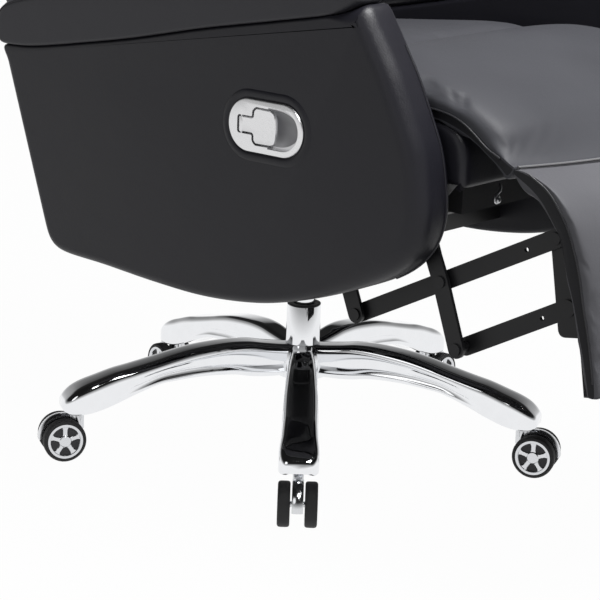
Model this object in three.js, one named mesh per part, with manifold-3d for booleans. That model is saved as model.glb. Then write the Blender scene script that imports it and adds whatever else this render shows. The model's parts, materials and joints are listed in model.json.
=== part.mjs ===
// Reclining office chair with a swing-out footrest, in millimetres.
// The sitter faces -Y, the sitter's left is +X and the floor is below at the casters.
import * as THREE from 'three';
import { mergeVertices } from 'three/addons/utils/BufferGeometryUtils.js';
import Module from 'manifold-3d';

const wasm = await Module();
wasm.setup();

// Fits shared by all pieces
const touchGap = 0.3;
const pivotPlay = 0.3;
const moveGap = 0.5;
const overrun = 6;
const weldDistance = 0.001;
const roundSides = 24;
const pinSides = 12;
const curveSteps = 6;
const armCurveSteps = 3;

// Star base
const legCount = 5;
const firstLegAngle = 4;
const legReach = 350;
const legCrownHeight = 156;
const legTipWidth = 54;
const legTipUndersideShare = 0.425;
const hubRadius = 36;
const hubTopHeight = 150;
const hubBottomHeight = 102.6;
const hubHoleRadius = 18;
const legStationShares = [
  // reach, top height, bottom height, width
  [0.05, 0.94, 0.67, 0.7],
  [0.17, 0.985, 0.67, 0.68],
  [0.3, 1, 0.705, 0.74],
  [0.46, 0.96, 0.705, 0.82],
  [0.62, 0.865, 0.66, 0.88],
  [0.76, 0.785, 0.575, 0.93],
  [0.86, 0.72, 0.47, 0.98],
  [0.935, 0.655, 0.425, 1],
  [0.98, 0.6, 0.425, 0.92],
  [1, 0.52, 0.43, 0.7],
];
const legSectionShares = [
  // across, up
  [-0.84, 0], [-1, 0.12], [-0.93, 0.42], [-1, 0.72], [-0.8, 0.95],
  [0, 1],
  [0.8, 0.95], [1, 0.72], [0.93, 0.42], [1, 0.12], [0.84, 0],
];
const legWall = 5;
const legPocketReachShare = 0.84;

// Gas lift
const liftTubeRadius = 24.2;
const liftTubeWall = 2.4;
const liftTubeTop = 205;
const liftTubeFoot = 109.3;
const guideBushHeight = 22;
const guideBushLip = 1.6;
const liftCylinderRadius = 14;
const liftCylinderWall = 2.4;
const liftCylinderFoot = 132;
const liftCylinderTop = 279;
const liftRodRadius = 5;
const liftPistonRadius = 11;
const liftPistonHeight = 9;
const liftPistonTop = 236;
const bearingHeight = 6;
const bearingRadius = 17;

// Casters
const stemCircleShare = 0.9286;
const casterTrail = 22.6;
const wheelRadius = 30;
const wheelWidth = 17;
const wheelSpacing = 18;
const wheelSides = 18;
const wheelCoverRadius = 23;
const wheelHubRadius = 9;
const wheelWindowDepth = 2.5;
const wheelWindowRadius = 5.2;
const wheelWindowCount = 5;
const tyreShoulder = 3.2;
const casterAxleRadius = 4;
const casterAxleDepth = 11;
const casterStemRadius = 5.5;
const casterStemHeight = 88;
const casterNeckRadius = 7.4;
const casterNeckHeight = 65.5;
const casterNeckGap = 0.8;
const fenderRadius = 33.5;
const fenderWall = 4.5;
const casterWebWidth = 15;

// Arms
const armInner = 262;
const armThickness = 58;
const armRear = 290;
const armFront = -438;
const armBottom = 289;
const armTop = 748;
const armEdgeRound = 16;
const armOutlineShares = [
  // from rear to front, from bottom to top: bottom and front edge
  [0.1236, 0.1046], [0.1374, 0.0545], [0.1703, 0.0261], [0.2788, 0.0174], [0.4052, 0.0044], [0.5275, 0],
  [0.6442, 0.0174], [0.7349, 0.0501], [0.8214, 0.0948], [0.9038, 0.1503], [0.9547, 0.2026], [0.9863, 0.2636],
  [1, 0.3355], [0.9986, 0.4009], [0.9863, 0.5033], [0.967, 0.5752], [0.9313, 0.6906], [0.9011, 0.7669],
];
const armPadFootShares = [
  [0.8571, 0.8758], [0.8146, 0.8388], [0.6841, 0.7974], [0.5234, 0.7495], [0.3516, 0.6906],
  [0.217, 0.6514], [0.1236, 0.6264], [0.0687, 0.6166], [0.011, 0.6144],
];
const armPadCrownShares = [
  [0, 0.6863], [0.0275, 0.7386], [0.1236, 0.7821], [0.2157, 0.8126], [0.3984, 0.8867],
  [0.6044, 0.9673], [0.7253, 1], [0.794, 0.9804], [0.8283, 0.9368],
];
const armPadOverhang = 6;
const armPadRound = 14;

// Recessed handle in the right arm
const handlePlaceShare = [0.6696, 0.5109];
const bezelLength = 120;
const bezelHeight = 66;
const bezelRim = 2.2;
const bezelDepth = 22;
const bezelWall = 2;
const cupInset = 9;
const bezelLedgeDepth = 7;
const leverThickness = 4.5;
const leverTailLength = 26;
const leverTailHeight = 19;
const leverPaddleLength = 27;
const leverPaddleHeight = 42;
const leverCorner = 2.6;
const leverRearInset = 17;
const leverPinRadius = 1.5;
const leverBarrelWall = 1.6;

// Swivel plate, cross rails and height lever
const railSize = 30;
const railWall = 2;
const railBottom = 315;
const frontRailForward = 130;
const rearRailForward = -100;
const swivelPlateWidth = 220;
const swivelPlateThickness = 6;
const swivelPlateMargin = 24;
const cupRadius = 29;
const cupFoot = 240;
const cupFootRadius = 22;
const heightLeverRadius = 4;
const heightLeverAxis = 290;
const heightLeverReach = 215;
const heightLeverDrop = 26;
const heightLeverPaddle = 82;
const heightLeverPaddleWidth = 26;
const heightLeverPaddleThickness = 7;
const heightLeverPlay = 1;

// Footrest linkage, a double parallelogram
const crossPivotForward = 424;
const crossPivotDrop = 116;
const barTilt = 27.3;
const barRearLength = 143;
const barFrontLength = 173;
const crankLength = 87;
const crankTilt = 22;
const dropLength = 83;
const dropTilt = 19.8;
const lowerBarReach = 20;
const lowerBarDrop = 79.4;
const shoulderSetback = 13;
const shoulderRise = 29;
const barHalfWidth = 11.3;
const barThickness = 5;
const pinRadius = 4;
const pinHeadRadius = 7.5;
const pinHeadHeight = 2.2;
const spacerRadius = 7;
const spacerThickness = 4.2;
const openPivotPlay = 5;
const toolingHoleRadius = 3;
const toolingHoleSetback = 44;

// Side plates that carry the linkage and the back
const sidePlateThickness = 5;
const sidePlateHalfWidth = 20;
const branchRootDrop = 7.5689;
const backHingeForward = -178;
const backHingeHeight = 470;
const studRadius = 5;
const driveTubeRadius = 11;
const driveTubeWall = 3;

// Footrest board, bracket and pad
const footboardLead = 18.9;
const footboardRise = 4.7;
const footboardTilt = 9.7;
const footboardLength = 187;
const footboardThickness = 16;
const footboardHalfWidth = 246;
const bracketDepth = 30;
const bracketLength = 118;
const bracketTabLength = 46;
const bracketTabWidth = 24;
const bracketThickness = 4.5;
const bracketCornerRadius = 10;
const footPadHalfWidth = 250;
const footPadThickness = 36;
const kneeFaceAngle = 221;
const footFaceAngle = 263;
const footPadCrownShares = [
  // reach from the knee line, drop from the knee line to the pad's foot
  [0, 0], [0.34, 0.095], [0.6, 0.245], [0.765, 0.43], [0.89, 0.72], [1, 1],
];
const footPadReach = 119;
const footPadDrop = 256;

// Seat
const seatRear = 98;
const seatBoxFront = -452;
const seatBoxBottom = 478;
const seatBoxTop = 556;
const seatBoxHalfWidth = 256.4;
const seatBoxRound = 6;
const seatBoxOutlineShares = [[0, 0.35], [0.9, 1]];
const seatBoxNoseShare = 0.42;
const seatHalfWidth = 255;
const seatCushionFront = -243;
const seatCushionTopShares = [[0, 0.76], [0.15, 0.84], [0.45, 0.92], [0.8, 1], [1, 0.985]];
const seatCrownHeight = 608;
const creaseGap = 3;
const kneeTopShares = [[0, 0.9], [0.18, 1], [0.38, 0.93], [0.58, 0.76], [0.79, 0.48], [1, 0]];
const kneeInnerShares = [[0.64, 0.3], [0.79, 0.09]];
const seatRailThickness = 23;
const seatRailBottom = 441;
const seatRailForward = 405;
const seatRailHalfWidth = 225;
const hookWire = 2.2;
const hookRadius = 8;
const hookStem = 16;
const hookAcross = -158;
const hookForward = 440;
const hookFlangeRadius = 6;
const hookFlangeHeight = 2;

// Back, in its own frame: up along the back and forward from its hinge line
const backTilt = 33;
const backShellFoot = 34;
const backShellTop = 770;
const backShellHalfWidth = 250.6;
const backShellTopHalfWidth = 235;
const backShellRear = -74;
const backShellFront = -22;
const backShellRound = 14;
const backShellCorner = 70;
const backCushionHalfWidth = 250;
const backCushionFoot = 6;
const backCushionTop = 762;
const backCushionDepth = 120;
const backCushionFrontShares = [
  // forward from the shell, up the back
  [0.52, 0], [0.8, 0.02], [0.9, 0.07], [1, 0.2], [0.93, 0.4], [0.84, 0.6], [0.74, 0.8], [0.62, 0.94], [0.42, 1],
];
const backCushionNeckShare = 0.8;
const backCushionNarrowShare = 0.14;
const backChannelShares = [0.36, 0.7];
const backChannelDepthShare = 0.24;
const backChannelWidthShare = 0.018;
const headrestHalfWidth = 172;
const headrestFoot = 585;
const headrestTop = 735;
const headrestDepth = 46;
const backStrapHalfWidth = 18;
const backStrapReach = 170;

const degrees = THREE.MathUtils.degToRad;
const lerp = THREE.MathUtils.lerp;

// Geometry helpers

// A closed geometry becomes a solid, with its faces turned outwards.
function solid(geometry) {
  const bare = geometry.clone();
  for (const name of Object.keys(bare.attributes)) {
    if (name !== 'position') bare.deleteAttribute(name);
  }
  const merged = mergeVertices(bare, weldDistance);
  const position = merged.attributes.position;
  const corners = [];
  let volume = 0;
  const [a, b, c] = [new THREE.Vector3(), new THREE.Vector3(), new THREE.Vector3()];
  for (let i = 0; i < merged.index.count; i += 3) {
    const [p, q, r] = [merged.index.getX(i), merged.index.getX(i + 1), merged.index.getX(i + 2)];
    if (p === q || q === r || r === p) continue;
    corners.push(p, q, r);
    a.fromBufferAttribute(position, p);
    b.fromBufferAttribute(position, q);
    c.fromBufferAttribute(position, r);
    volume += a.dot(b.cross(c));
  }
  if (volume < 0) corners.reverse();
  return new wasm.Manifold(new wasm.Mesh({
    numProp: 3,
    vertProperties: Float32Array.from(position.array),
    triVerts: Uint32Array.from(corners),
  }));
}

function toGeometry(manifold) {
  const mesh = manifold.getMesh();
  const geometry = new THREE.BufferGeometry();
  geometry.setAttribute('position', new THREE.BufferAttribute(Float32Array.from(mesh.vertProperties), 3));
  geometry.setIndex(new THREE.BufferAttribute(Uint32Array.from(mesh.triVerts), 1));
  geometry.computeVertexNormals();
  return geometry;
}

const join = (...solids) => solids.reduce((whole, next) => whole.add(next));
const cut = (whole, ...tools) => tools.reduce((rest, tool) => rest.subtract(tool), whole);

// A point in side view: forward from the swivel axis and up from the floor.
const side = (forward, height) => new THREE.Vector2(-forward, height);

// A shape drawn in side view becomes a slab that runs across the chair.
const sideView = new THREE.Matrix4().makeBasis(
  new THREE.Vector3(0, 1, 0), new THREE.Vector3(0, 0, 1), new THREE.Vector3(1, 0, 0));
function slab(shape, fromX, toX, round = 0, steps = 3, fineness = curveSteps) {
  const geometry = new THREE.ExtrudeGeometry(shape, {
    depth: toX - fromX - 2 * round,
    bevelEnabled: round > 0,
    bevelThickness: round,
    bevelSize: round,
    bevelOffset: -round,
    bevelSegments: steps,
    curveSegments: fineness,
  });
  geometry.applyMatrix4(sideView);
  geometry.translate(fromX + round, 0, 0);
  return solid(geometry);
}

// A round bar across the chair, at a point in side view.
function rod(point, radius, fromX, toX, sides = pinSides) {
  const geometry = new THREE.CylinderGeometry(radius, radius, toX - fromX, sides);
  geometry.rotateZ(Math.PI / 2);
  geometry.translate((fromX + toX) / 2, point.x, point.y);
  return solid(geometry);
}

// A turned piece about the vertical axis, from [radius, height] pairs.
function turned(pairs, sides = roundSides) {
  const geometry = new THREE.LatheGeometry(pairs.map(([r, h]) => new THREE.Vector2(r, h)), sides);
  geometry.rotateX(Math.PI / 2);
  return solid(geometry);
}

function turnedRing(inner, outer, foot, top, sides = roundSides) {
  return turned([[inner, foot], [outer, foot], [outer, top], [inner, top], [inner, foot]], sides);
}

function turnedPlug(radius, foot, top, sides = roundSides) {
  return turned([[0, foot], [radius, foot], [radius, top], [0, top]], sides);
}

function box(fromX, toX, fromY, toY, fromZ, toZ) {
  const geometry = new THREE.BoxGeometry(toX - fromX, toY - fromY, toZ - fromZ);
  geometry.translate((fromX + toX) / 2, (fromY + toY) / 2, (fromZ + toZ) / 2);
  return solid(geometry);
}

// Rings of points with equal counts are skinned, and fans close both ends.
function loft(rings) {
  const count = rings[0].length;
  const points = rings.flat();
  const faces = [];
  for (let i = 0; i < rings.length - 1; i++) {
    for (let j = 0; j < count; j++) {
      const [a, b] = [i * count + j, i * count + ((j + 1) % count)];
      faces.push(a, b, b + count, a, b + count, a + count);
    }
  }
  for (const [ring, start, flip] of [[rings[0], 0, true], [rings.at(-1), points.length - count, false]]) {
    const centre = ring.reduce((sum, p) => sum.add(p), new THREE.Vector3()).divideScalar(count);
    const hub = points.push(centre) - 1;
    for (let j = 0; j < count; j++) {
      const [a, b] = [start + j, start + ((j + 1) % count)];
      faces.push(...(flip ? [b, a, hub] : [a, b, hub]));
    }
  }
  const geometry = new THREE.BufferGeometry().setFromPoints(points);
  geometry.setIndex(faces);
  return solid(geometry);
}

// The outline of a flat bar along a line of points, with round ends.
function barShape(points, halfWidth) {
  const shape = new THREE.Shape();
  const heading = (i) => points[i + 1].clone().sub(points[i]).angle();
  const last = points.length - 1;
  const edge = (i, turn) => {
    const before = heading(Math.max(i - 1, 0));
    const after = heading(Math.min(i, last - 1));
    const bend = Math.atan2(Math.sin(after - before), Math.cos(after - before)) / 2;
    const reach = halfWidth / Math.cos(bend);
    const angle = before + bend + turn;
    return points[i].clone().add(new THREE.Vector2(Math.cos(angle), Math.sin(angle)).multiplyScalar(reach));
  };
  const quarter = Math.PI / 2;
  shape.absarc(points[0].x, points[0].y, halfWidth, heading(0) + quarter, heading(0) + 3 * quarter, false);
  for (let i = 1; i < last; i++) shape.lineTo(...edge(i, -quarter));
  const end = heading(last - 1);
  shape.absarc(points[last].x, points[last].y, halfWidth, end - quarter, end + quarter, false);
  for (let i = last - 1; i > 0; i--) shape.lineTo(...edge(i, quarter));
  shape.closePath();
  return shape;
}

// Shares of a box in side view become points.
function placed(shares, rear, front, bottom, top) {
  return shares.map(([along, up]) => new THREE.Vector2(lerp(rear, front, along), lerp(bottom, top, up)));
}

// A cushion between two side-view curves: its crown, its drawn-in sides and its sewn channels.
function cushion(inner, outer, halfWidth, look = {}) {
  const { sidePower = 5, endPower = 7, drawInShare = 0.012, rows = 18, columns = 16, channelShares = [], narrowShare = 0 } = look;
  const innerCurve = new THREE.SplineCurve(inner);
  const outerCurve = new THREE.SplineCurve(outer);
  const bulge = (value, power) => Math.max(0, 1 - Math.abs(value) ** power) ** (1 / power);
  const grids = [[], []];
  for (let i = 0; i <= rows; i++) {
    const along = 0.5 - 0.5 * Math.cos((Math.PI * i) / rows);
    const below = innerCurve.getPointAt(along);
    const above = outerCurve.getPointAt(along);
    let fullness = i === 0 || i === rows ? 0 : bulge(2 * along - 1, endPower);
    for (const share of channelShares) {
      fullness *= 1 - backChannelDepthShare * Math.exp(-(((along - share) / backChannelWidthShare) ** 2));
    }
    const topShare = Math.max(0, (along - backCushionNeckShare) / (1 - backCushionNeckShare));
    const half = halfWidth * (1 - drawInShare * Math.sin(Math.PI * along) ** 2 - narrowShare * topShare ** 2);
    for (let j = 0; j <= columns; j++) {
      const across = Math.sin(Math.PI * (j / columns - 0.5));
      const full = j === 0 || j === columns ? 0 : fullness * bulge(across, sidePower);
      const top = below.clone().lerp(above, full);
      grids[0].push(new THREE.Vector3(across * half, below.x, below.y));
      grids[1].push(new THREE.Vector3(across * half, top.x, top.y));
    }
  }
  const faces = [];
  const size = grids[0].length;
  for (let i = 0; i < rows; i++) {
    for (let j = 0; j < columns; j++) {
      const [a, b] = [i * (columns + 1) + j, (i + 1) * (columns + 1) + j];
      faces.push(a, a + 1, b + 1, a, b + 1, b);
      faces.push(size + a, size + b + 1, size + a + 1, size + a, size + b, size + b + 1);
    }
  }
  const geometry = new THREE.BufferGeometry().setFromPoints(grids.flat());
  geometry.setIndex(faces);
  return solid(geometry);
}

// Scene

const chair = new THREE.Group();
const finishes = {
  chrome: { color: 0xd8dade, roughness: 0.06, metalness: 1 },
  satin: { color: 0xc9cacc, roughness: 0.28, metalness: 1 },
  black_steel: { color: 0x26262a, roughness: 0.45, metalness: 0.6 },
  bare_steel: { color: 0x8f9296, roughness: 0.35, metalness: 1 },
  black_plastic: { color: 0x1b1b1d, roughness: 0.5, metalness: 0 },
  tyre: { color: 0x1c1c1e, roughness: 0.7, metalness: 0 },
  leather: { color: 0x3a3a40, roughness: 0.42, metalness: 0 },
  vinyl: { color: 0x1d1d20, roughness: 0.5, metalness: 0 },
};

function addTo(group, name, manifold, finish) {
  const mesh = new THREE.Mesh(toGeometry(manifold), new THREE.MeshStandardMaterial(finishes[finish]));
  mesh.name = name;
  group.add(mesh);
}

// Right is -X and left is +X; a span runs between two distances from the middle.
const handed = [['right', -1], ['left', 1]];
const span = (sign, near, far) => (sign < 0 ? [-far, -near] : [near, far]);

// Star base: five arched channel legs on a hub, with a socket for a caster stem in each tip.

const stemCircleRadius = legReach * stemCircleShare;
const legTipUnderside = casterNeckHeight + casterNeckGap;

// The underside of a tip stays on its caster's neck, and the arch rises from there to the crown.
function legHeight(share) {
  return lerp(legTipUnderside, legCrownHeight, (share - legTipUndersideShare) / (1 - legTipUndersideShare));
}

function legRings(inset, reachShare) {
  return legStationShares.filter(([reach]) => reach <= reachShare).map(([reach, topShare, bottomShare, widthShare]) => {
    const bottom = legHeight(bottomShare) - (inset > 0 ? overrun : 0);
    const top = legHeight(topShare) - inset;
    const half = (legTipWidth * widthShare) / 2 - inset;
    return legSectionShares.map(([across, up]) =>
      new THREE.Vector3(legReach * reach, half * across, lerp(bottom, top, up)));
  });
}

function starBase() {
  const stemSocket = turnedPlug(
    casterStemRadius + touchGap, hubBottomHeight - legReach, casterStemHeight + touchGap, pinSides)
    .translate(stemCircleRadius, 0, 0);
  const channel = cut(loft(legRings(legWall, legPocketReachShare)), box(
    0, hubRadius + legWall, -legReach, legReach, 0, legReach));
  let base = turned([
    [0, hubBottomHeight], [hubRadius, hubBottomHeight], [hubRadius, legCrownHeight * 0.7],
    [hubRadius - legWall, hubTopHeight], [liftTubeRadius + legWall, hubTopHeight + legWall], [0, hubTopHeight + legWall],
  ]);
  const cuts = [];
  for (let i = 0; i < legCount; i++) {
    const turn = firstLegAngle + (i * 360) / legCount;
    base = base.add(loft(legRings(0, 1)).rotate([0, 0, turn]));
    cuts.push(channel.rotate([0, 0, turn]), stemSocket.rotate([0, 0, turn]));
  }
  const bore = turnedPlug(liftTubeRadius + touchGap, liftTubeFoot - touchGap, liftTubeTop);
  const hubHole = turnedPlug(hubHoleRadius, hubBottomHeight - overrun, liftTubeTop);
  return cut(base, bore, hubHole, ...cuts);
}

const base = new THREE.Group();
chair.add(base);
addTo(base, 'star_base', starBase(), 'chrome');
addTo(base, 'lift_tube', cut(
  turnedPlug(liftTubeRadius, liftTubeFoot, liftTubeTop),
  turnedPlug(liftTubeRadius - liftTubeWall, liftTubeFoot + liftTubeWall, liftTubeTop + overrun)), 'chrome');

const tubeBore = liftTubeRadius - liftTubeWall;
const guideBore = liftCylinderRadius + pivotPlay;
addTo(base, 'guide_bush', turned([
  [guideBore, liftTubeTop - guideBushHeight], [tubeBore - touchGap, liftTubeTop - guideBushHeight],
  [tubeBore - touchGap, liftTubeTop + touchGap], [liftTubeRadius - touchGap, liftTubeTop + touchGap],
  [liftTubeRadius - guideBushLip, liftTubeTop + touchGap + guideBushLip],
  [guideBore, liftTubeTop + touchGap + guideBushLip], [guideBore, liftTubeTop - guideBushHeight],
]), 'black_plastic');
const bearingFoot = liftTubeFoot + liftTubeWall + touchGap;
addTo(base, 'thrust_bearing', turnedRing(
  liftRodRadius + pivotPlay, bearingRadius, bearingFoot, bearingFoot + bearingHeight), 'bare_steel');

// Casters: each body turns about its stem, and its two wheels turn on its axle.

function casterHousing() {
  const axle = new THREE.Vector2(casterTrail, wheelRadius);
  const axleBoss = casterAxleRadius * 2;
  const web = new THREE.Shape();
  web.moveTo(-casterNeckRadius, casterNeckHeight);
  web.lineTo(-casterNeckRadius, wheelRadius + axleBoss);
  web.lineTo(axle.x - axleBoss, axle.y);
  web.absarc(axle.x, axle.y, axleBoss, Math.PI, 2 * Math.PI, false);
  web.lineTo(axle.x + fenderRadius - fenderWall, axle.y);
  web.lineTo(axle.x + fenderRadius, axle.y);
  web.absarc(axle.x, axle.y, fenderRadius, 0, Math.PI * 0.56, false);
  web.lineTo(casterNeckRadius, casterNeckHeight);
  web.closePath();
  const window = new THREE.Path();
  window.absarc(axle.x, axle.y, fenderRadius - fenderWall, Math.PI * 0.04, Math.PI * 0.42, false);
  window.absarc(axle.x, axle.y, axleBoss + fenderWall, Math.PI * 0.4, Math.PI * 0.06, true);
  window.closePath();
  web.holes.push(window);
  const geometry = new THREE.ExtrudeGeometry(web, { depth: casterWebWidth, bevelEnabled: false, curveSegments: 5 });
  geometry.rotateX(Math.PI / 2);
  geometry.translate(0, casterWebWidth / 2, 0);
  const axlePin = new THREE.CylinderGeometry(
    casterAxleRadius, casterAxleRadius, wheelSpacing + 2 * casterAxleDepth, pinSides);
  axlePin.translate(axle.x, 0, axle.y);
  return join(
    solid(geometry), solid(axlePin),
    turnedPlug(casterNeckRadius, wheelRadius + axleBoss, casterNeckHeight, pinSides),
    turnedPlug(casterStemRadius, casterNeckHeight - legWall, casterStemHeight, pinSides));
}

// The outer face looks along the wheel's own +Z, and the blind bore opens at its inner face.
function casterWheel() {
  const bore = casterAxleRadius + pivotPlay;
  const wheel = turned([
    [0, wheelWidth], [wheelRadius - tyreShoulder, wheelWidth], [wheelRadius, wheelWidth - tyreShoulder],
    [wheelRadius, tyreShoulder], [wheelRadius - tyreShoulder, 0], [0, 0],
  ], wheelSides);
  const axleBore = turnedPlug(bore, -overrun, casterAxleDepth + touchGap, pinSides);
  const windows = [];
  const windowCircle = (wheelCoverRadius + wheelHubRadius) / 2;
  for (let i = 0; i < wheelWindowCount; i++) {
    windows.push(turnedPlug(wheelWindowRadius, wheelWidth - wheelWindowDepth, wheelWidth + overrun, 5)
      .translate(windowCircle, 0, 0).rotate([0, 0, (i * 360) / wheelWindowCount]));
  }
  return cut(wheel, axleBore, ...windows);
}

const housing = casterHousing();
const wheel = casterWheel();
const halfFacet = 180 / wheelSides;
for (let i = 0; i < legCount; i++) {
  const turn = degrees(firstLegAngle + (i * 360) / legCount);
  const caster = new THREE.Group();
  caster.position.set(stemCircleRadius * Math.cos(turn), stemCircleRadius * Math.sin(turn), 0);
  caster.rotation.z = turn;
  chair.add(caster);
  addTo(caster, `caster_housing_${i + 1}`, housing, 'chrome');
  for (const [letter, sign] of [['a', -1], ['b', 1]]) {
    const upright = wheel.rotate([0, 0, halfFacet]).rotate([-90 * sign, 0, 0]);
    addTo(caster, `caster_wheel_${i + 1}${letter}`,
      upright.translate(casterTrail, (sign * wheelSpacing) / 2, wheelRadius), 'tyre');
  }
}

// Gas lift: the rod stands on the thrust bearing, and the cylinder rises with the seat.

const rodFoot = bearingFoot + bearingHeight + touchGap;
addTo(chair, 'lift_rod', join(
  turnedPlug(liftRodRadius, bearingFoot, liftPistonTop, pinSides),
  turnedPlug(liftRodRadius * 1.6, rodFoot, rodFoot + liftTubeWall, pinSides),
  turnedPlug(liftPistonRadius, liftPistonTop - liftPistonHeight, liftPistonTop)), 'bare_steel');

const lifted = new THREE.Group();
chair.add(lifted);
addTo(lifted, 'lift_cylinder', cut(
  turnedPlug(liftCylinderRadius, liftCylinderFoot, liftCylinderTop),
  turnedPlug(liftPistonRadius + moveGap, liftCylinderFoot + liftCylinderWall, liftCylinderTop - liftCylinderWall),
  turnedPlug(liftRodRadius + pivotPlay, liftCylinderFoot - overrun, liftCylinderFoot + overrun, pinSides)), 'chrome');

// Seat chassis: the swivel plate's taper cup, two square rails between the arms.

const plateTop = railBottom - touchGap;
const plateFoot = plateTop - swivelPlateThickness;
const plateRear = -rearRailForward + swivelPlateMargin;
const plateFront = -frontRailForward - swivelPlateMargin;
addTo(lifted, 'swivel_plate', cut(
  join(
    box(-swivelPlateWidth / 2, swivelPlateWidth / 2, plateFront, plateRear, plateFoot, plateTop),
    turned([[0, cupFoot], [cupFootRadius, cupFoot], [cupRadius, plateFoot - overrun], [cupRadius + overrun, plateTop],
      [0, plateTop]])),
  turnedPlug(liftCylinderRadius + touchGap, cupFoot - overrun, liftCylinderTop + touchGap),
  turnedPlug(liftRodRadius, cupFoot, heightLeverAxis + heightLeverRadius + overrun, pinSides),
  rod(side(0, heightLeverAxis), heightLeverRadius + heightLeverPlay, 0, cupRadius + 2 * overrun)), 'black_steel');

for (const [name, forward] of [['cross_rail_front', frontRailForward], ['cross_rail_rear', rearRailForward]]) {
  const half = railSize / 2;
  const end = armInner - touchGap;
  addTo(lifted, name, cut(
    box(-end, end, -forward - half, -forward + half, railBottom, railBottom + railSize),
    box(-end - overrun, end + overrun, -forward - half + railWall, -forward + half - railWall,
      railBottom + railWall, railBottom + railSize - railWall)), 'black_steel');
}

// Height lever: a cranked rod out of the cup with a flat paddle, on the sitter's left.

function heightLever() {
  const low = heightLeverAxis - heightLeverDrop;
  const bend = heightLeverDrop;
  const path = new THREE.CurvePath();
  const corners = [
    [liftRodRadius, heightLeverAxis], [cupRadius + 2 * bend, heightLeverAxis],
    [cupRadius + 4 * bend, low], [heightLeverReach, low],
  ].map(([x, z]) => new THREE.Vector3(x, 0, z));
  path.add(new THREE.LineCurve3(corners[0], corners[1]));
  path.add(new THREE.LineCurve3(corners[1], corners[2]));
  path.add(new THREE.LineCurve3(corners[2], corners[3]));
  const section = new THREE.Shape().absarc(0, 0, heightLeverRadius, 0, 2 * Math.PI, false);
  const tube = new THREE.ExtrudeGeometry(section, { steps: 18, curveSegments: 5, extrudePath: path });
  const paddle = box(
    heightLeverReach - heightLeverRadius, heightLeverReach + heightLeverPaddle,
    -heightLeverPaddleWidth / 2, heightLeverPaddleWidth / 2,
    low - heightLeverPaddleThickness / 2, low + heightLeverPaddleThickness / 2);
  return join(solid(tube), paddle);
}
addTo(chair, 'height_lever', heightLever(), 'black_plastic');

// Linkage pivots in side view. Front and rear links are equal and parallel, so the long bar
// keeps its tilt, and the bracket turns about the knee line.

const polar = (origin, length, angle) => origin.clone().add(
  side(length * Math.cos(degrees(angle)), length * Math.sin(degrees(angle))));
const crossPivot = side(crossPivotForward, seatBoxBottom - crossPivotDrop);
const longBarRear = polar(crossPivot, -barRearLength, barTilt);
const longBarFront = polar(crossPivot, barFrontLength, barTilt);
const crank = side(crankLength * Math.sin(degrees(crankTilt)), -crankLength * Math.cos(degrees(crankTilt)));
const frontPivot = crossPivot.clone().sub(crank);
const rearPivot = longBarRear.clone().sub(crank);
const dropPivot = crossPivot.clone().add(
  side(dropLength * Math.sin(degrees(dropTilt)), -dropLength * Math.cos(degrees(dropTilt))));
const openPivot = longBarFront.clone().add(side(lowerBarReach, -lowerBarDrop));
const kneeLine = frontPivot.clone().add(longBarFront).sub(crossPivot);
const backHinge = side(backHingeForward, backHingeHeight);

// Layers across the chair, from the arm inwards.
const plateOuter = armInner - touchGap;
const plateInner = plateOuter - sidePlateThickness;
const linkOuter = plateInner - moveGap;
const linkInner = linkOuter - barThickness;
const longOuter = linkInner - spacerThickness;
const longInner = longOuter - barThickness;
const bracketOuter = longInner - moveGap;
const bracketInner = bracketOuter - bracketThickness;
const lowerOuter = bracketInner - moveGap;
const lowerInner = lowerOuter - barThickness;

const hole = (point, sign, radius) => rod(point, radius, ...span(sign, 0, armInner + overrun));

// A rivet on one bar: a spacer up to the next bar, a shank through it and a head beyond it.
function rivet(point, sign, from, nearFace, farFace) {
  const parts = [];
  const reach = (near, far) => span(sign, Math.min(near, far), Math.max(near, far));
  const inwards = farFace < from ? 1 : -1;
  if (Math.abs(nearFace - from) > 2 * moveGap) {
    parts.push(rod(point, spacerRadius, ...reach(from + inwards, nearFace + inwards * touchGap)));
  }
  const seat = farFace - inwards * touchGap;
  parts.push(rod(point, pinRadius, ...reach(from + inwards, seat - inwards)));
  parts.push(rod(point, pinHeadRadius, ...reach(seat, seat - inwards * pinHeadHeight)));
  return parts;
}

function rivetHead(point, sign, face, outwards) {
  const far = face + outwards * pinHeadHeight;
  const near = face - outwards;
  return rod(point, pinHeadRadius, ...span(sign, Math.min(near, far), Math.max(near, far)));
}

function sidePlate(sign) {
  const bend = side(0, backHingeHeight);
  const spine = [backHinge, bend, frontPivot];
  const root = bend.clone().lerp(frontPivot, backHingeForward / frontPivot.x).add(side(0, -branchRootDrop));
  const branch = [root, rearPivot];
  const flat = (points, half) => slab(barShape(points, half), ...span(sign, plateInner, plateOuter));
  const studs = [
    rod(frontPivot, studRadius, ...span(sign, linkInner - 2 * overrun, plateInner + touchGap)),
    ...rivet(rearPivot, sign, plateInner, linkOuter, linkInner),
    ...rivet(backHinge, sign, plateInner, linkOuter, linkInner),
  ];
  return join(flat(spine, sidePlateHalfWidth), flat(branch, sidePlateHalfWidth * 0.7), ...studs);
}

function rearLink(sign) {
  const plate = slab(barShape([longBarRear, rearPivot], barHalfWidth), ...span(sign, linkInner, linkOuter));
  return join(
    cut(plate, hole(rearPivot, sign, pinRadius + pivotPlay)),
    ...rivet(longBarRear, sign, linkInner, longOuter, longInner),
    rivetHead(longBarRear, sign, linkOuter, 1));
}

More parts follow.
